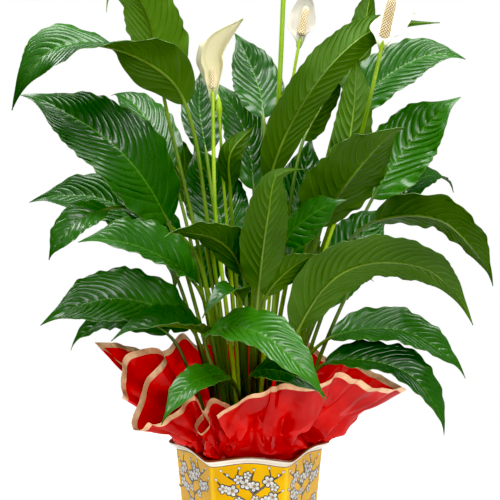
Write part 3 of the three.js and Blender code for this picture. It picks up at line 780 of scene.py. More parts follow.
def lay_rib(pattern, node, form, settings):
    """The stem of a leaf, which runs on under the blade as its midrib."""
    places, sides, faces, halves, _ = form
    knots, length = lengths_along(places)
    blade = 1 - knots[NECK_RING]
    stem = np.linspace(halves[0], halves[NECK_RING], NECK_RING + 1) / math.cos(math.radians(30))
    beyond = ((1 - knots[NECK_RING:]) / blade) ** 0.75
    radii = np.concatenate([stem, (stem[-1] * 0.82 * beyond)[1:]])
    radii = np.maximum(radii, LEAST_RADIUS)
    under = (radii + UNDER) * ease(np.arange(len(radii)), NECK_RING, NECK_RING + 2)

    def drop(share):
        past = np.clip((share - knots[NECK_RING]) / blade, 0, 1)
        return np.interp(share, knots, under) + tip_hook(past, blade * length, settings)

    return tube(pattern, f"{node}_rib", knots, places, sides, faces, radii, drop)


class PEACELILY_OT_leaves(bpy.types.Operator):
    """Lay one flat, pleated blade and its stem along each leaf"""

    bl_idname = "peacelily.leaves"
    bl_label = "Leaves"

    def execute(self, context):
        settings = context.scene.peacelily_leaf
        skins = [make(settings) for make in (leaf_upper, leaf_under, leaf_margin, stem_skin)]
        blade = dressed(cut_grid("flat_blade", *BLADE_GRID), *skins)
        rolled = dressed(cut_grid("flat_stem", *STEM_GRID), skins[-1])
        for k, node in enumerate(LEAVES):
            form = leaf_form(node)
            rng = np.random.default_rng(k + 11)
            piece = lay_blade(copied(blade, f"{node}_blade"), form, settings, rng)
            modified(
                piece,
                "SOLIDIFY",
                thickness=settings.thickness,
                offset=-1,
                use_quality_normals=True,
                material_offset=1,
                material_offset_rim=2,
            )
            leaf = joined(f"{node}_laid", [lay_rib(rolled, node, form, settings), piece])
            fresh = YOUNG.get(node.removeprefix("leaf_"), 0.05 * (k % 5))
            shades = leaf.data.attributes.new("fresh", "FLOAT", "POINT")
            shades.data.foreach_set("value", np.full(len(leaf.data.vertices), fresh))
            placed(smoothed(leaf, 50), "leaf", node)
        discard(blade, rolled)
        return {"FINISHED"}


# ------------------------------------------------------------------ blooms


STALK_GRID = (14, 90)
SPATHE_GRID = (28, 56)
SPADIX_GRID = (108, 132)
LEAST_KNOBS = 6  # florets round a spadix


class PEACELILY_OT_stalks(bpy.types.Operator):
    """Roll a stalk for each bloom, and the small green bud"""

    bl_idname = "peacelily.stalks"
    bl_label = "Flower stalks"

    def execute(self, context):
        skin = stalk_skin(context.scene.peacelily_bloom)
        rolled = dressed(cut_grid("flat_stalk", *STALK_GRID), skin)
        for node in STALKS:
            places, radii, knots, _ = rod_form(node, STEM_RING)
            ways = unit(np.gradient(places, axis=0))
            faces = unit(np.cross(np.tile([1.0, 0, 0], (len(ways), 1)), ways))
            sides = np.cross(ways, faces)
            piece = tube(rolled, f"{node}_laid", knots, places, sides, faces, radii)
            placed(smoothed(piece), "stalk", node)
        discard(rolled)
        return {"FINISHED"}


class PEACELILY_OT_spathes(bpy.types.Operator):
    """Curl a flat spathe behind each spadix"""

    bl_idname = "peacelily.spathes"
    bl_label = "Spathes"

    def execute(self, context):
        settings = context.scene.peacelily_bloom
        green = settings.spathe_green
        white = spathe_skin("white_spathe", settings.spathe_white, settings.white_flush, green)
        cream = spathe_skin("cream_spathe", settings.spathe_cream, settings.cream_flush, green)
        for k, bloom in enumerate(BLOOMS):
            skin = cream if bloom == "cream" else white
            flat = dressed(cut_grid(f"spathe_{bloom}_laid", *SPATHE_GRID), skin)
            inner = loft_rings(f"spathe_{bloom}", BLOOM_RING)[:, :5]  # its inner side
            knots, _ = lengths_along(inner[:, 2])
            across, along = grid_places(flat)
            share = (along + 1) / 2
            columns = [smooth(knots, inner[:, j], share) for j in range(5)]
            weights = smooth(np.linspace(-1, 1, 5), np.eye(5), across)
            points = sum(weights[:, j, None] * columns[j] for j in range(5))
            width = columns[4] - columns[0]
            out = unit(np.cross(width, smooth(knots, np.gradient(inner[:, 2], axis=0), share)))
            half = np.linalg.norm(width, axis=1) / 2
            wave = np.sin(2 * np.pi * (2.5 * share + 0.4 * (across > 0) + 0.2 * k))
            wave *= settings.ruffle * half * across**2 * ease(share, 0.1, 0.3)
            points += out * wave[:, None]
            reshape(flat, points)
            write_uv(flat, across, share)
            modified(flat, "SOLIDIFY", thickness=settings.thickness, offset=-1)
            placed(smoothed(flat), "spathe", f"spathe_{bloom}")
        return {"FINISHED"}


class PEACELILY_OT_spadices(bpy.types.Operator):
    """Raise the florets of each spadix from a rolled grid"""

    bl_idname = "peacelily.spadices"
    bl_label = "Spadices"

    def execute(self, context):
        settings = context.scene.peacelily_bloom
        skin = spadix_skin(settings)
        rolled = dressed(cut_grid("flat_spadix", *SPADIX_GRID), skin)
        for bloom in BLOOMS:
            places, radii, knots, length = rod_form(f"spadix_{bloom}", BLOOM_RING)
            girth = 2 * np.pi * radii.max()
            piece = copied(rolled, f"spadix_{bloom}_laid")
            across, along = grid_places(piece)
            share = (along + 1) / 2
            axis = unit(places[-1] - places[0])
            side = unit(np.cross(axis, [0.0, 1, 0]))
            face = np.cross(axis, side)
            knobs = max(LEAST_KNOBS, round(girth / settings.knob_spacing))
            rows = knobs * length / girth
            first = knobs * across / 2 + rows * share
            second = knobs * across / 2 - rows * share
            knob = np.abs(np.sin(np.pi * first) * np.sin(np.pi * second)) ** 0.6
            radius = smooth(knots, radii, share) + settings.knob_height * (knob - 0.6)
            dome = np.sqrt(np.clip(1 - ease(share, 0.9, 1.0) ** 2, 0, 1))
            radius *= dome * np.sqrt(ease(share, 0, 0.06))
            turn = np.pi * across
            spoke = np.outer(np.cos(turn), side) + np.outer(np.sin(turn), face)
            reshape(piece, places[0] + np.outer(share * length, axis) + spoke * radius[:, None])
            write_uv(piece, first, second)
            placed(smoothed(welded(piece), 80), "spadix", f"spadix_{bloom}")
        discard(rolled)
        return {"FINISHED"}


# ------------------------------------------------------------------ the film wrap

# The film's gold edge, in millimetres, from the back on the left round by the front: it folds
# back on itself where the film is gathered.
FILM_EDGE = [
    (-179, 70, 402), (-211, 30, 422), (-243, -10, 436), (-267, -30, 441), (-246, -20, 423),
    (-223, -25, 399), (-212, -60, 377), (-213, -100, 365), (-214, -105, 387), (-211, -100, 413),
    (-208, -90, 433), (-190, -80, 440), (-169, -75, 442), (-149, -90, 442), (-143, -105, 435),
    (-154, -120, 420), (-170, -130, 398), (-182, -140, 363), (-197, -145, 328), (-193, -148, 319),
    (-175, -152, 320), (-168, -152, 335), (-146, -155, 338), (-118, -142, 351), (-95, -130, 372),
    (-82, -140, 366), (-68, -158, 351), (-70, -165, 332), (-83, -168, 319), (-90, -160, 327),
    (-78, -148, 346), (-70, -140, 365), (-62, -142, 372), (-47, -150, 366), (-33, -158, 359),
    (-43, -152, 347), (-53, -174, 352), (-28, -187, 372), (-2, -192, 387), (24, -188, 394),
    (34, -178, 400), (33, -152, 393), (45, -140, 392), (58, -152, 400), (77, -162, 398),
    (97, -167, 400), (116, -167, 404), (130, -157, 411), (139, -150, 418), (155, -145, 417),
    (180, -130, 401), (212, -105, 381), (244, -70, 369), (273, -25, 359), (247, 25, 363),
    (223, 60, 369), (189, 95, 380), (167, 115, 377), (140, 132, 380), (112, 148, 402),
    (78, 168, 412), (40, 160, 398), (8, 176, 420), (-30, 166, 402), (-62, 178, 414),
    (-95, 154, 396), (-125, 150, 418), (-150, 112, 398),
]
# The film inside the pot, below its neck: radius and height in millimetres.
FILM_BAG = [(0, 9.8), (60, 9.8), (75, 9.8), (79, 13.8), (89.5, 118), (100, 222)]
FILM_NECK = (105, 250)
FILM_SILL = (111.5, 256, 7)  # flat radius, height and crest of the film where it lies over the lip
FILM_SWELL = (-2, 20)  # out and up from the sill to the place that the collar's curve heads for
FILM_BAG_SHARE = 0.2  # of the grid's rows
FILM_LIP_SHARE = 0.08  # of the rest: the way from the neck to the sill
FILM_RIBBON_FROM = 0.94  # of the rest: where the gold band begins
FILM_EDGE_STEPS = 720  # of the smoothed way round the edge
FILM_EDGE_BLUR = 61  # how many of them its turn is smoothed over
FILM_COLUMNS = 600
FILM_ROWS = 76
FOLDS = 36  # ridges and valleys round the collar
FOLD_ROWS = [0, 0.1, 0.3, 0.52, 0.74, 1]  # where a fold may turn, from the lip to the edge
RUCKS = 80  # smaller facets round the collar
RUCK_ROWS = np.linspace(0, 1, 9)


def film_edge(share):
    """The film's edge round the plant, and the turn of the neck below each place."""
    knots = np.array(FILM_EDGE + FILM_EDGE[:1], float) * MM
    far, _ = lengths_along(knots)
    edge = smooth(far, knots, share)
    fine = np.linspace(0, 1, FILM_EDGE_STEPS + 1)
    route = smooth(far, knots, fine)
    turn = np.unwrap(np.arctan2(route[:, 1], route[:, 0]))
    slope = (turn[-1] - turn[0]) * fine
    loose = turn - turn[0] - slope
    window = np.hanning(FILM_EDGE_BLUR)
    soft = np.convolve(np.tile(loose[:-1], 3), window / window.sum(), "same")
    soft = soft[FILM_EDGE_STEPS : 2 * FILM_EDGE_STEPS]
    rising = np.maximum.accumulate(turn[0] + soft + slope[:-1])
    return edge, np.interp(share, fine[:-1], rising)


def creases(share, t, count, rows, rng):
    """Flat facets between sharp folds, from -1 to 1, round the film and from its lip to its edge."""
    rows = np.array(rows)
    heights = rng.uniform(0.2, 1, (len(rows), count)) * np.where(np.arange(count) % 2, 1, -1)
    heights[1:] += rng.uniform(-0.8, 0.8, (len(rows) - 1, count))
    row = np.clip(np.searchsorted(rows, t, side="right") - 1, 0, len(rows) - 2)
    y = (t - rows[row]) / (rows[row + 1] - rows[row])
    leans = rng.uniform(0.3, 0.7, len(rows))
    starts = rng.uniform(0, 1, len(rows))

    def lean(k):
        """How far the folds lie over sideways at the rows k."""
        return leans[k] * np.sin(2 * np.pi * (count / 12 * share + starts[k]))

    across = share * count + lean(row) * (1 - y) + lean(row + 1) * y
    column = np.floor(across).astype(int)
    x = across - column
    here, beside = column % count, (column + 1) % count
    a, b = heights[row, here], heights[row, beside]
    c, d = heights[row + 1, here], heights[row + 1, beside]
    turned = (rng.random((len(rows), count)) < 0.5)[row, here]
    a, b, c, d = (np.where(turned, *pair) for pair in ((b, a), (a, b), (d, c), (c, d)))
    x = np.where(turned, 1 - x, x)
    first = a + (b - a) * x + (c - a) * y
    second = d + (c - d) * (1 - x) + (b - d) * (1 - y)
    return np.where(x + y < 1, first, second)


def film_points(across, along, settings):
    """The film's surface: a bag round the grower's pot, gathered at the neck, and its wide collar."""
    share = (across + 1) / 2
    rise = (along + 1) / 2
    edge, turn = film_edge(share)
    out = np.stack([np.cos(turn), np.sin(turn), np.zeros(len(turn))], 1)
    up = np.array([0, 0, 1.0])
    bag = np.array(FILM_BAG + [FILM_NECK], float) * MM
    deep = np.clip(rise / FILM_BAG_SHARE, 0, 1)
    bag_far, _ = lengths_along(bag)
    radius = np.interp(deep, bag_far, bag[:, 0])
    height = np.interp(deep, bag_far, bag[:, 1])
    inside = out * radius[:, None] + up * height[:, None]
    t = np.clip((rise - FILM_BAG_SHARE) / (1 - FILM_BAG_SHARE), 0, 1)
    tilt = (turn + np.pi / 2 + np.pi / 6) % (np.pi / 3) - np.pi / 6  # from the pot's side's middle
    crest = crest_of_rim(0.5 + np.tan(tilt) / (2 * math.tan(math.pi / 6)))
    flat, level, wave = FILM_SILL
    sill = out * (flat * MM / np.cos(tilt))[:, None] + up * ((level + wave * crest) * MM)[:, None]
    swell = sill + (out * FILM_SWELL[0] + up * FILM_SWELL[1]) * MM
    run = np.linalg.norm(edge - swell, axis=1)
    last = 1 - settings.ribbon / run
    red = np.minimum(t / FILM_RIBBON_FROM, 1)
    gold = np.maximum(t - FILM_RIBBON_FROM, 0) / (1 - FILM_RIBBON_FROM)
    t = red * last + gold * (1 - last)
    over = np.clip(t / FILM_LIP_SHARE, 0, 1)[:, None]
    neck = out * FILM_NECK[0] * MM + up * FILM_NECK[1] * MM
    onto = neck + (sill - neck) * over + up * (2.5 * MM * np.sin(np.pi * over))
    far = np.clip((t - FILM_LIP_SHARE) / (1 - FILM_LIP_SHARE), 0, 1)[:, None]
    collar = sill * (1 - far) ** 2 + swell * (2 * far * (1 - far)) + edge * far**2
    points = np.where((t > FILM_LIP_SHARE)[:, None], collar, onto)
    points = np.where((rise > FILM_BAG_SHARE)[:, None], points, inside)
    rng = np.random.default_rng(8)
    folds = creases(share, t, FOLDS, FOLD_ROWS, rng)
    facets = creases(share, t, RUCKS, RUCK_ROWS, rng)
    high = settings.crumple * ease(t, 0.08, 0.36) * (1 - 0.75 * ease(t, 0.55, 1))
    ruck = settings.ruck * ease(t, 0.15, 0.5) * (1 - 0.4 * ease(t, 0.8, 1))
    gather = np.abs((settings.gathers * 2 * share) % 2 - 1) - 0.5
    low = settings.gather_height * ease(rise, 0.05, FILM_BAG_SHARE) * (1 - ease(t, 0.1, 0.4))
    lift = 0.5 * high * (1 - ease(t, 0.1, 0.5)) + ruck * (1 - ease(t, 0.1, 0.3))
    return points, folds * high + facets * ruck + gather * low + lift, out


def film_outward(points, shape):
    """Unit normals of a rolled grid of points."""
    grid = points.reshape(*shape, 3)
    around = np.roll(grid[:, :-1], -1, axis=1) - np.roll(grid[:, :-1], 1, axis=1)
    around = np.concatenate([around, around[:, :1]], axis=1)
    up = np.gradient(grid, axis=0)
    return unit(np.cross(around, up)).reshape(-1, 3)


class PEACELILY_OT_wrap(bpy.types.Operator):
    """Gather a sheet of red film round the grower's pot"""

    bl_idname = "peacelily.wrap"
    bl_label = "Film wrap"

    def execute(self, context):
        settings = context.scene.peacelily_wrap
        film = cut_grid("film_wrap", FILM_COLUMNS, FILM_ROWS)
        dressed(film, film_skin(settings), gold_skin(settings))
        across, along = grid_places(film)
        points, raised, out = film_points(across, along, settings)
        order = np.lexsort((np.round(across, 6), np.round(along, 6)))
        shape = (FILM_ROWS + 1, FILM_COLUMNS + 1)
        normals = np.empty_like(points)
        normals[order] = film_outward(points[order], shape)
        normals *= np.where((normals * out).sum(1) < -0.5, -1, 1)[:, None]
        reshape(film, points + normals * raised[:, None])
        write_uv(film, across, along)
        gold_from = 2 * (FILM_BAG_SHARE + (1 - FILM_BAG_SHARE) * FILM_RIBBON_FROM) - 1
        half_row = 1 / FILM_ROWS
        lows = np.array([min(along[v] for v in face.vertices) for face in film.data.polygons])
        gold = (lows > gold_from - half_row).astype(int)
        film.data.polygons.foreach_set("material_index", gold)
        welded(film, 1e-5)
        modified(film, "SOLIDIFY", thickness=settings.thickness, offset=0)
        placed(smoothed(film, 24), "film", "wrap")
        return {"FINISHED"}


# ------------------------------------------------------------------ the pot


POT_SIDES = 6
YELLOW, LINE, WHITE, BROWN = range(4)  # the pot's glazes, in the order in which it gets them
SIDE_CUTS = 31  # into a side of the pot's outline
LIP_RINGS = slice(3, 10)  # of the pot's solid: the rounded lip. The wall ends at its first one
LIP_STEPS = 19
WALL_STEPS = 9
WAVE_FROM = 0.7  # of the pot's height: here the wall begins to follow the rim's wave
WAVE_FULL = 0.243  # and from this height on it follows all of it
CORNER_REACH = 7 * MM  # how far from an upright edge the rounding begins


def crest_of_rim(along):
    """Height of the rim's wave along a side of the pot: 0 at a corner and 1 in the middle."""
    return np.clip(0.5 - 0.5 * np.cos(2 * np.pi * along), 0, 1) ** 0.9


def pot_profile():
    """Corner radius, height and crest of each ring of the pot's solid, from its foot."""
    rings = loft_rings("pot", POT_RING)
    corners = rings[np.arange(len(rings)), np.linalg.norm(rings[..., :2], axis=2).argmax(1)]
    radii = np.linalg.norm(corners[:, :2], axis=1)
    heights = rings[..., 2].min(1)
    crests = rings[..., 2].max(1) - heights
    return np.stack([radii, heights, crests], 1)


class PEACELILY_OT_pot(bpy.types.Operator):
    """Turn up the six-sided pot with its waved rim"""

    bl_idname = "peacelily.pot"
    bl_label = "Pot"

    def execute(self, context):
        settings = context.scene.peacelily_pot
        solid = pot_profile()
        lip = solid[LIP_RINGS]
        inside = solid[LIP_RINGS.stop :]
        wall = [solid[1] + (lip[0] - solid[1]) * share for share in np.linspace(0, 1, WALL_STEPS)]
        lip = smooth(lengths_along(lip[:, :2])[0], lip, np.linspace(0, 1, LIP_STEPS))
        line = lip[0] + [0, settings.line, 0]
        foot = solid[0] * [1.01, 0, 0] + [0, 1 * MM, 0]
        profile = np.array([solid[0], foot, *wall, line, *lip[1:], *inside])
        glazes_up = np.full(len(profile) - 1, YELLOW)
        glazes_up[len(wall) + 1 :] = WHITE
        glazes_up[len(wall) + 1] = LINE
        glazes_up[profile[:, 1].argmax() - 2 :] = BROWN
        pot = self.turned_up(profile[:, :2])
        dressed(pot, *self.glazes(settings))
        self.paint(pot, profile, glazes_up)
        self.shape_rim(pot, profile, settings)
        placed(smoothed(pot, 40), "glaze", "pot")
        return {"FINISHED"}

    def glazes(self, settings):
        return [
            yellow_glaze(settings),
            enamel("rim_line", (0.05, 0.045, 0.04), (0.1, 0.08, 0.06)),
            glaze("rim_white", (0.72, 0.66, 0.56), (0.5, 0.44, 0.36)),
            glaze("lip_brown", (0.24, 0.05, 0.015), (0.1, 0.02, 0.008)),
        ]

    def turned_up(self, profile):
        """Extrudes a six-sided outline up the wall, over the lip and down to the inner floor."""
        deselect()
        radius, height = profile[0]
        bpy.ops.mesh.primitive_circle_add(
            vertices=POT_SIDES,
            radius=radius,
            location=(0, 0, height),
            rotation=(0, 0, math.radians(30)),
        )
        pot = added("glazed_pot")
        bpy.ops.object.transform_apply(location=True, rotation=True, scale=True)
        with editing(pot):
            bpy.ops.mesh.subdivide(number_cuts=SIDE_CUTS)
            bpy.ops.mesh.extrude_region_move()
            bpy.ops.mesh.merge(type="CENTER")
            bpy.ops.mesh.select_all(action="SELECT")
            bpy.ops.mesh.select_non_manifold(extend=False)
            for (was, low), (now, high) in zip(profile, profile[1:]):
                rise = (0, 0, high - low)
                bpy.ops.mesh.extrude_region_move(TRANSFORM_OT_translate={"value": rise})
                wider = (now / was, now / was, 1)
                bpy.ops.transform.resize(value=wider, center_override=(0, 0, high))
            bpy.ops.mesh.extrude_region_move()
            bpy.ops.mesh.merge(type="CENTER")
        return pot

    def shape_rim(self, pot, profile, settings):
        """Waves the rim, rounds the upright edges and notes where a painted highlight runs along them.
        """
        points = places_of(pot)
        radius = np.linalg.norm(points[:, :2], axis=1)
        turn = np.degrees(np.arctan2(points[:, 1], points[:, 0])) % 60
        bow = np.cos(math.radians(30)) / np.cos(np.radians(turn - 30))
        corner = radius / np.maximum(bow, 1e-9)
        along = 0.5 + np.tan(np.radians(turn - 30)) / (2 * math.tan(math.radians(30)))
        wave = crest_of_rim(along)
        _, top, crest = profile.max(0)
        points[:, 2] += crest * wave * ease(points[:, 2], top * WAVE_FROM, WAVE_FULL)
        near = np.minimum(along, 1 - along) * corner
        trimmed = settings.corner_round * np.clip(1 - near / CORNER_REACH, 0, 1) ** 2
        points[:, :2] *= (1 - trimmed / np.maximum(radius, 1e-6))[:, None]
        reshape(pot, points)
        # Painted highlight along each upright edge, fading within 6 mm of it
        edge_highlight = 0.55 * (1 - ease(near, 1.5 * MM, 6 * MM))
        pot.data.attributes.new("edge_highlight", "FLOAT", "POINT").data.foreach_set("value", edge_highlight)

    def paint(self, pot, profile, glazes_up):
        """Gives each face the glaze of the part of the profile that it lies on."""
        middles = (profile[:-1, :2] + profile[1:, :2]) / 2
        for face in pot.data.polygons:
            turn = (math.atan2(face.center.y, face.center.x)) % (math.pi / 3) - math.pi / 6
            flat = math.hypot(face.center.x, face.center.y) * math.cos(turn)
            corner = flat / math.cos(math.pi / 6)
            gaps = np.hypot(middles[:, 0] - corner, middles[:, 1] - face.center.z)
            face.material_index = int(glazes_up[gaps.argmin()])


# The blossom spray on a side of the pot, in millimetres across and up its sloping face. Every
# other side has it mirrored. A branch has its width and its route.
BRANCHES = [
    (5.0, [(10, 8), (0, 30), (8, 54), (-4, 80), (6, 106), (-4, 132), (8, 156), (2, 178), (8, 196)]),
    (2.8, [(8, 196), (-2, 208), (-16, 216), (-30, 222), (-44, 234)]),
    (2.0, [(2, 204), (2, 222), (8, 236)]),
    (2.8, [(8, 196), (22, 206), (34, 218), (48, 226), (56, 232)]),
    (2.8, [(2, 178), (-12, 188), (-28, 196), (-46, 206), (-54, 218)]),
    (2.6, [(8, 156), (20, 168), (32, 182), (44, 194), (54, 200)]),
    (2.6, [(-4, 132), (-18, 142), (-32, 154), (-46, 164)]),
    (2.6, [(6, 106), (22, 114), (36, 126), (50, 138)]),
    (2.4, [(-4, 80), (-18, 94), (-32, 104), (-48, 112)]),
    (2.4, [(8, 54), (22, 70), (34, 80), (46, 90)]),
    (2.4, [(0, 30), (-14, 46), (-28, 62), (-44, 74)]),
    (2.0, [(10, 8), (24, 26), (38, 40)]),
    (1.6, [(34, 218), (38, 230), (34, 240)]),
    (1.6, [(-16, 216), (-22, 230), (-18, 240)]),
    (1.6, [(-32, 154), (-46, 152), (-54, 144)]),
    (1.6, [(32, 182), (46, 182), (56, 176)]),
]
# Across, up and size
BLOSSOMS = [
    (-44, 205, 0.9), (-29, 202, 1.1), (-18, 222, 0.9), (-6, 214, 1.05), (9, 210, 1.0), (-3, 230, 0.75),
    (33, 219, 1.05), (43, 208, 0.8), (40, 190, 1.0), (27, 184, 0.9), (10, 187, 0.7), (-18, 184, 0.75),
    (-40, 158, 1.0), (-26, 150, 1.05), (14, 158, 1.0), (28, 148, 0.85), (44, 132, 1.0), (31, 122, 0.9),
    (-18, 118, 1.05), (-34, 106, 0.95), (8, 104, 0.9), (24, 84, 1.05), (38, 78, 0.85), (-24, 74, 1.0),
    (-38, 64, 0.85), (-6, 60, 0.9), (20, 46, 1.0), (-20, 34, 0.95), (34, 34, 0.8), (4, 22, 0.85),
]
# Across, up and turn in degrees
BUDS = [
    (-48, 238, 50), (-37, 230, 20), (-56, 222, 40), (8, 240, -10), (-17, 243, -10), (34, 243, 10),
    (58, 236, -60), (50, 230, -10), (57, 202, -70), (59, 176, -90), (-50, 168, 50), (-57, 142, 110),
    (53, 142, -50), (46, 120, -80), (-52, 114, 70), (-8, 134, 60), (49, 94, -50), (14, 120, -40),
    (-48, 77, 50), (-40, 84, 0), (42, 44, -40), (14, 72, 20), (-12, 92, 30), (16, 172, -30),
]
PETALS = 5
BLOSSOM_RADIUS = 11.2 * MM


class PEACELILY_OT_blossoms(bpy.types.Operator):
    """Set sprays of enamelled plum blossom on the six sides of the pot"""

    bl_idname = "peacelily.blossoms"
    bl_label = "Blossoms"

    def execute(self, context):
        settings = context.scene.peacelily_pot
        inks = [
            enamel("petal_white", (0.66, 0.65, 0.6), (0.47, 0.46, 0.42)),
            enamel("outline_grey", (0.02, 0.02, 0.02), (0.06, 0.055, 0.05)),
            enamel("heart_brown", (0.4, 0.2, 0.05), (0.2, 0.12, 0.06)),
            enamel("bark_grey", (0.2, 0.18, 0.15), (0.09, 0.08, 0.07)),
        ]
        blossom = self.blossom(settings.relief, *inks)
        bud = self.bud(settings.relief, *inks[:2])
        twigs = self.twigs(settings.relief, inks[1], inks[3])
        for side in range(POT_SIDES):
            frame_of_side = self.side_frame(side)
            flip = -1 if side % 2 else 1
            pieces = [self.set_on(twigs, frame_of_side, 0, 0, 0, 1, flip)]
            for k, (across, up, size) in enumerate(BLOSSOMS):
                pieces.append(self.set_on(blossom, frame_of_side, across, up, 37 * k, size, flip))
            for across, up, turn in BUDS:
                pieces.append(self.set_on(bud, frame_of_side, across, up, turn, 1, flip))
            spray = joined(f"blossom_spray_{side + 1}", pieces)
            placed(spray, "glaze")
        discard(blossom, bud, twigs)
        return {"FINISHED"}

    def side_frame(self, side):
        """The matrix from a side's own across, up and out to the plant's frame."""
        profile = pot_profile()
        (low, foot, _), (high, top, _) = profile[1], profile[3]
        flat = math.cos(math.radians(30))
        turn = math.radians(60 * side - 90)
        out = Vector((math.cos(turn), math.sin(turn), 0))
        start = out * low * flat + Vector((0, 0, foot))
        up = (out * high * flat + Vector((0, 0, top)) - start).normalized()
        across = Vector((-math.sin(turn), math.cos(turn), 0))
        face = across.cross(up)
        matrix = Matrix((across, up, face)).transposed().to_4x4()
        matrix.translation = start - up * foot
        return matrix

    def set_on(self, pattern, side, across, up, turn, size, flip):
        """A copy of a pattern at its place on a side of the pot, mirrored where flip is -1."""
        twin = copied(pattern, "enamel")
        local = Matrix.Translation((across * MM, up * MM, 0))
        local @= Matrix.Rotation(math.radians(turn), 4, "Z")
        mirror = Matrix.Diagonal((flip, 1, 1, 1))
        twin.data.transform(side @ mirror @ local @ Matrix.Diagonal((size, size, 1, 1)))
        if flip < 0:
            twin.data.flip_normals()
        return twin

    def plate(self, name, outline, low, high, ink):
        """A thin plate with the given outline, from low to high above the glaze."""
        deselect()
        bpy.ops.mesh.primitive_circle_add(vertices=len(outline), fill_type="NGON", radius=1)
        plate = added(name)
        reshape(plate, [(x, y, low) for x, y in outline])
        rise = (0, 0, high - low)
        with editing(plate):
            bpy.ops.mesh.extrude_region_move(TRANSFORM_OT_translate={"value": rise})
        return dressed(plate, ink)

    def lobes(self, radius, count, depth, steps):
        """A rosette's outline with that many lobes."""
        turns = np.linspace(0, 2 * np.pi, count * steps, endpoint=False)
        reach = radius * (1 - depth * (1 - np.abs(np.sin(count * turns / 2)) ** 0.6))
        return [(r * math.cos(t), r * math.sin(t)) for r, t in zip(reach, turns)]

    def blossom(self, high, white, dark, brown, grey):
        """Five white petals on a dark rosette, with stamens and a heart."""
        edge = self.lobes(BLOSSOM_RADIUS, PETALS, 0.24, 4)
        pieces = [self.plate("rosette", edge, -high, high * 0.5, dark)]
        for k in range(PETALS):
            middle = math.pi * (2 * k + 1) / PETALS
            outline = []
            for turn in np.linspace(0, 2 * np.pi, 8, endpoint=False):
                along = 0.5 + 0.34 * math.cos(turn)
                wide = 0.28 * math.sin(turn) * (0.6 + 0.7 * along)
                spot = Vector((along, wide)) * BLOSSOM_RADIUS
                spot.rotate(Matrix.Rotation(middle, 2))
                outline.append(tuple(spot))
            pieces.append(self.plate("petal", outline, 0, high, white))
        pieces.append(self.plate("stamens", self.star(0.62, 0.13, 10), 0, high * 1.25, grey))
        pieces.append(self.plate("heart", self.star(0.17, 0.17, 3), 0, high * 1.5, brown))
        return joined("blossom", pieces)

    def star(self, far, near, points):
        """A star's outline, its points far and its notches near, of a blossom's radius."""
        turns = np.linspace(0, 2 * np.pi, 2 * points, endpoint=False)
        return [
            (r * BLOSSOM_RADIUS * math.cos(t), r * BLOSSOM_RADIUS * math.sin(t))
            for r, t in zip([far, near] * points, turns)
        ]

    def bud(self, high, white, dark):
        """A white bud on a dark plate that is a little larger."""
        size = BLOSSOM_RADIUS * 0.44
        half = [(0.2, 0.5), (0.4, 0.2), (0.34, -0.2)]
        shape = [(0, -0.5), *half[::-1], *[(-x, y) for x, y in half]]
        shape = [(x * size, y * size) for x, y in shape]
        wider = [(x * 1.3, y * 1.25) for x, y in shape]
        below = self.plate("bud_line", wider, -high, high * 0.5, dark)
        above = self.plate("bud_pale", shape, 0, high, white)
        return joined("bud_mark", [above, below])

    def twigs(self, relief, dark, grey):
        """The branches of a spray: a grey ribbon on a darker, wider one."""
        strands = []
        for ink, wider, high in ((dark, 0.75 * MM, 0.55), (grey, 0.0, 1.0)):
            data = bpy.data.curves.new("twigs", "CURVE")
            data.dimensions = "3D"
            data.bevel_depth = 1.0
            data.bevel_resolution = 1
            data.resolution_u = 5
            data.use_fill_caps = True
            for width, route in BRANCHES:
                spline = data.splines.new("NURBS")
                spline.points.add(len(route) - 1)
                spline.use_endpoint_u = True
                spline.order_u = 3
                for k, (point, (x, y)) in enumerate(zip(spline.points, route)):
                    point.co = (x * MM, y * MM, 0, 1)
                    point.radius = (width * MM / 2) * (1 - 0.55 * k / (len(route) - 1)) + wider
            strand = bpy.data.objects.new("twigs", data)
            bpy.context.scene.collection.objects.link(strand)
            take(strand)
            bpy.ops.object.convert(target="MESH")
            strand = added("twigs")
            strand.data.transform(Matrix.Diagonal((1, 1, relief * high / (2 * MM), 1)))
            strands.append(dressed(strand, ink))
        return joined("twigs", strands)


# ------------------------------------------------------------------ what is hidden inside


class PEACELILY_OT_soil(bpy.types.Operator):
    """Give the soil and the grower's pot their finishes"""

    bl_idname = "peacelily.soil"
    bl_label = "Soil and grower's pot"

    def execute(self, context):
        dressed(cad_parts["soil"], potting_soil())
        dressed(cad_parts["growers_pot"], moulded_plastic())
        return {"FINISHED"}


# ------------------------------------------------------------------ the studio


# Name, place, size in metres and share of the main lamp's power
LAMPS = [
    ("top", (0.0, -0.5, 2.6), 1.2, 1.0),
    ("right", (1.4, -0.6, 2.4), 0.6, 0.5),
    ("left", (-1.4, 0.2, 2.2), 0.6, 0.4),
    ("front", (0.5, -3.2, 1.5), 1.2, 1.1),
]
LAMP_TARGET = (0, 0, 0.6)
FAR = 60  # metres: how far the camera sees
FLOOR_RADIUS = 1.15


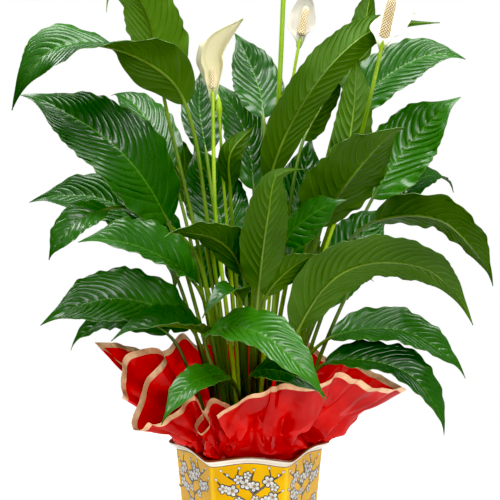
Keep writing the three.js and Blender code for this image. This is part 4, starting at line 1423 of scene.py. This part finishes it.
class PEACELILY_OT_stage(bpy.types.Operator):
    """Set up the white studio, its soft lights and the camera"""

    bl_idname = "peacelily.stage"
    bl_label = "Studio"

    def execute(self, context):
        settings = context.scene.peacelily_stage
        self.floor()
        self.sky(settings.sky)
        for name, place, size, share in LAMPS:
            self.lamp(name, place, size, settings.key * share)
        data = bpy.data.cameras.new("camera")
        data.lens = settings.lens
        data.clip_end = FAR
        camera = bpy.data.objects.new("camera", data)
        camera.location = settings.camera
        camera.rotation_euler = (math.pi / 2 - settings.down, 0, 0)
        context.scene.collection.objects.link(camera)
        context.scene.camera = camera
        self.grade(context.scene.view_settings, settings.haze)
        return {"FINISHED"}

    def grade(self, view, haze):
        """Plain colours, with the haze taken off the darks as in the photograph."""
        view.view_transform = "Standard"
        view.use_curve_mapping = True
        view.curve_mapping.black_level = [haze] * 3
        view.curve_mapping.update()

    def floor(self):
        """A pale floor that gives a little light, as a light table does."""
        deselect()
        bpy.ops.mesh.primitive_circle_add(vertices=128, radius=FLOOR_RADIUS, fill_type="NGON")
        floor = dressed(added("studio_floor"), studio_white())

    def sky(self, light):
        """White as seen, and dimmer as a light."""
        world = bpy.data.worlds.new("studio")
        world.use_nodes = True
        tree = world.node_tree
        background = tree.nodes["Background"]
        background.inputs["Color"].default_value = (1, 1, 1, 1)
        seen = tree.nodes.new("ShaderNodeLightPath").outputs["Is Camera Ray"]
        strength = tree.nodes.new("ShaderNodeMapRange")
        strength.inputs["To Min"].default_value = light
        strength.inputs["To Max"].default_value = 1.0
        tree.links.new(seen, strength.inputs["Value"])
        tree.links.new(strength.outputs[0], background.inputs["Strength"])
        bpy.context.scene.world = world

    def lamp(self, name, place, size, power):
        data = bpy.data.lights.new(name, "AREA")
        data.size = size
        data.energy = power
        lamp = bpy.data.objects.new(name, data)
        lamp.location = place
        way = Vector(LAMP_TARGET) - Vector(place)
        lamp.rotation_euler = way.to_track_quat("-Z", "Y").to_euler()
        bpy.context.scene.collection.objects.link(lamp)


# ------------------------------------------------------------------ the panel


class PEACELILY_PT_panel(bpy.types.Panel):
    """Lists the pieces of the plant"""

    bl_idname = "PEACELILY_PT_panel"
    bl_label = "Peace lily"
    bl_space_type = "VIEW_3D"
    bl_region_type = "UI"
    bl_category = "Peace lily"

    def draw(self, context):
        for operator in OPERATORS:
            self.layout.operator(operator.bl_idname)
        for owner in SETTINGS:
            group = getattr(context.scene, owner)
            box = self.layout.box()
            for key in group.__annotations__:
                box.prop(group, key)


OPERATORS = (
    PEACELILY_OT_stage,
    PEACELILY_OT_pot,
    PEACELILY_OT_blossoms,
    PEACELILY_OT_soil,
    PEACELILY_OT_wrap,
    PEACELILY_OT_leaves,
    PEACELILY_OT_stalks,
    PEACELILY_OT_spathes,
    PEACELILY_OT_spadices,
)
SETTINGS = {
    "peacelily_leaf": PeaceLilyLeafSettings,
    "peacelily_bloom": PeaceLilyBloomSettings,
    "peacelily_wrap": PeaceLilyWrapSettings,
    "peacelily_pot": PeaceLilyPotSettings,
    "peacelily_stage": PeaceLilyStageSettings,
}


def register():
    for group in SETTINGS.values():
        bpy.utils.register_class(group)
    for owner, group in SETTINGS.items():
        setattr(bpy.types.Scene, owner, PointerProperty(type=group))
    for kind in (*OPERATORS, PEACELILY_PT_panel):
        bpy.utils.register_class(kind)


def unregister():
    for kind in reversed((*OPERATORS, PEACELILY_PT_panel)):
        bpy.utils.unregister_class(kind)
    for owner, group in SETTINGS.items():
        delattr(bpy.types.Scene, owner)
        bpy.utils.unregister_class(group)


def main():
    register()
    bpy.ops.peacelily.stage()
    bpy.ops.peacelily.pot()
    bpy.ops.peacelily.blossoms()
    bpy.ops.peacelily.soil()
    bpy.ops.peacelily.wrap()
    bpy.ops.peacelily.leaves()
    bpy.ops.peacelily.stalks()
    bpy.ops.peacelily.spathes()
    bpy.ops.peacelily.spadices()


if __name__ == "__main__":
    main()
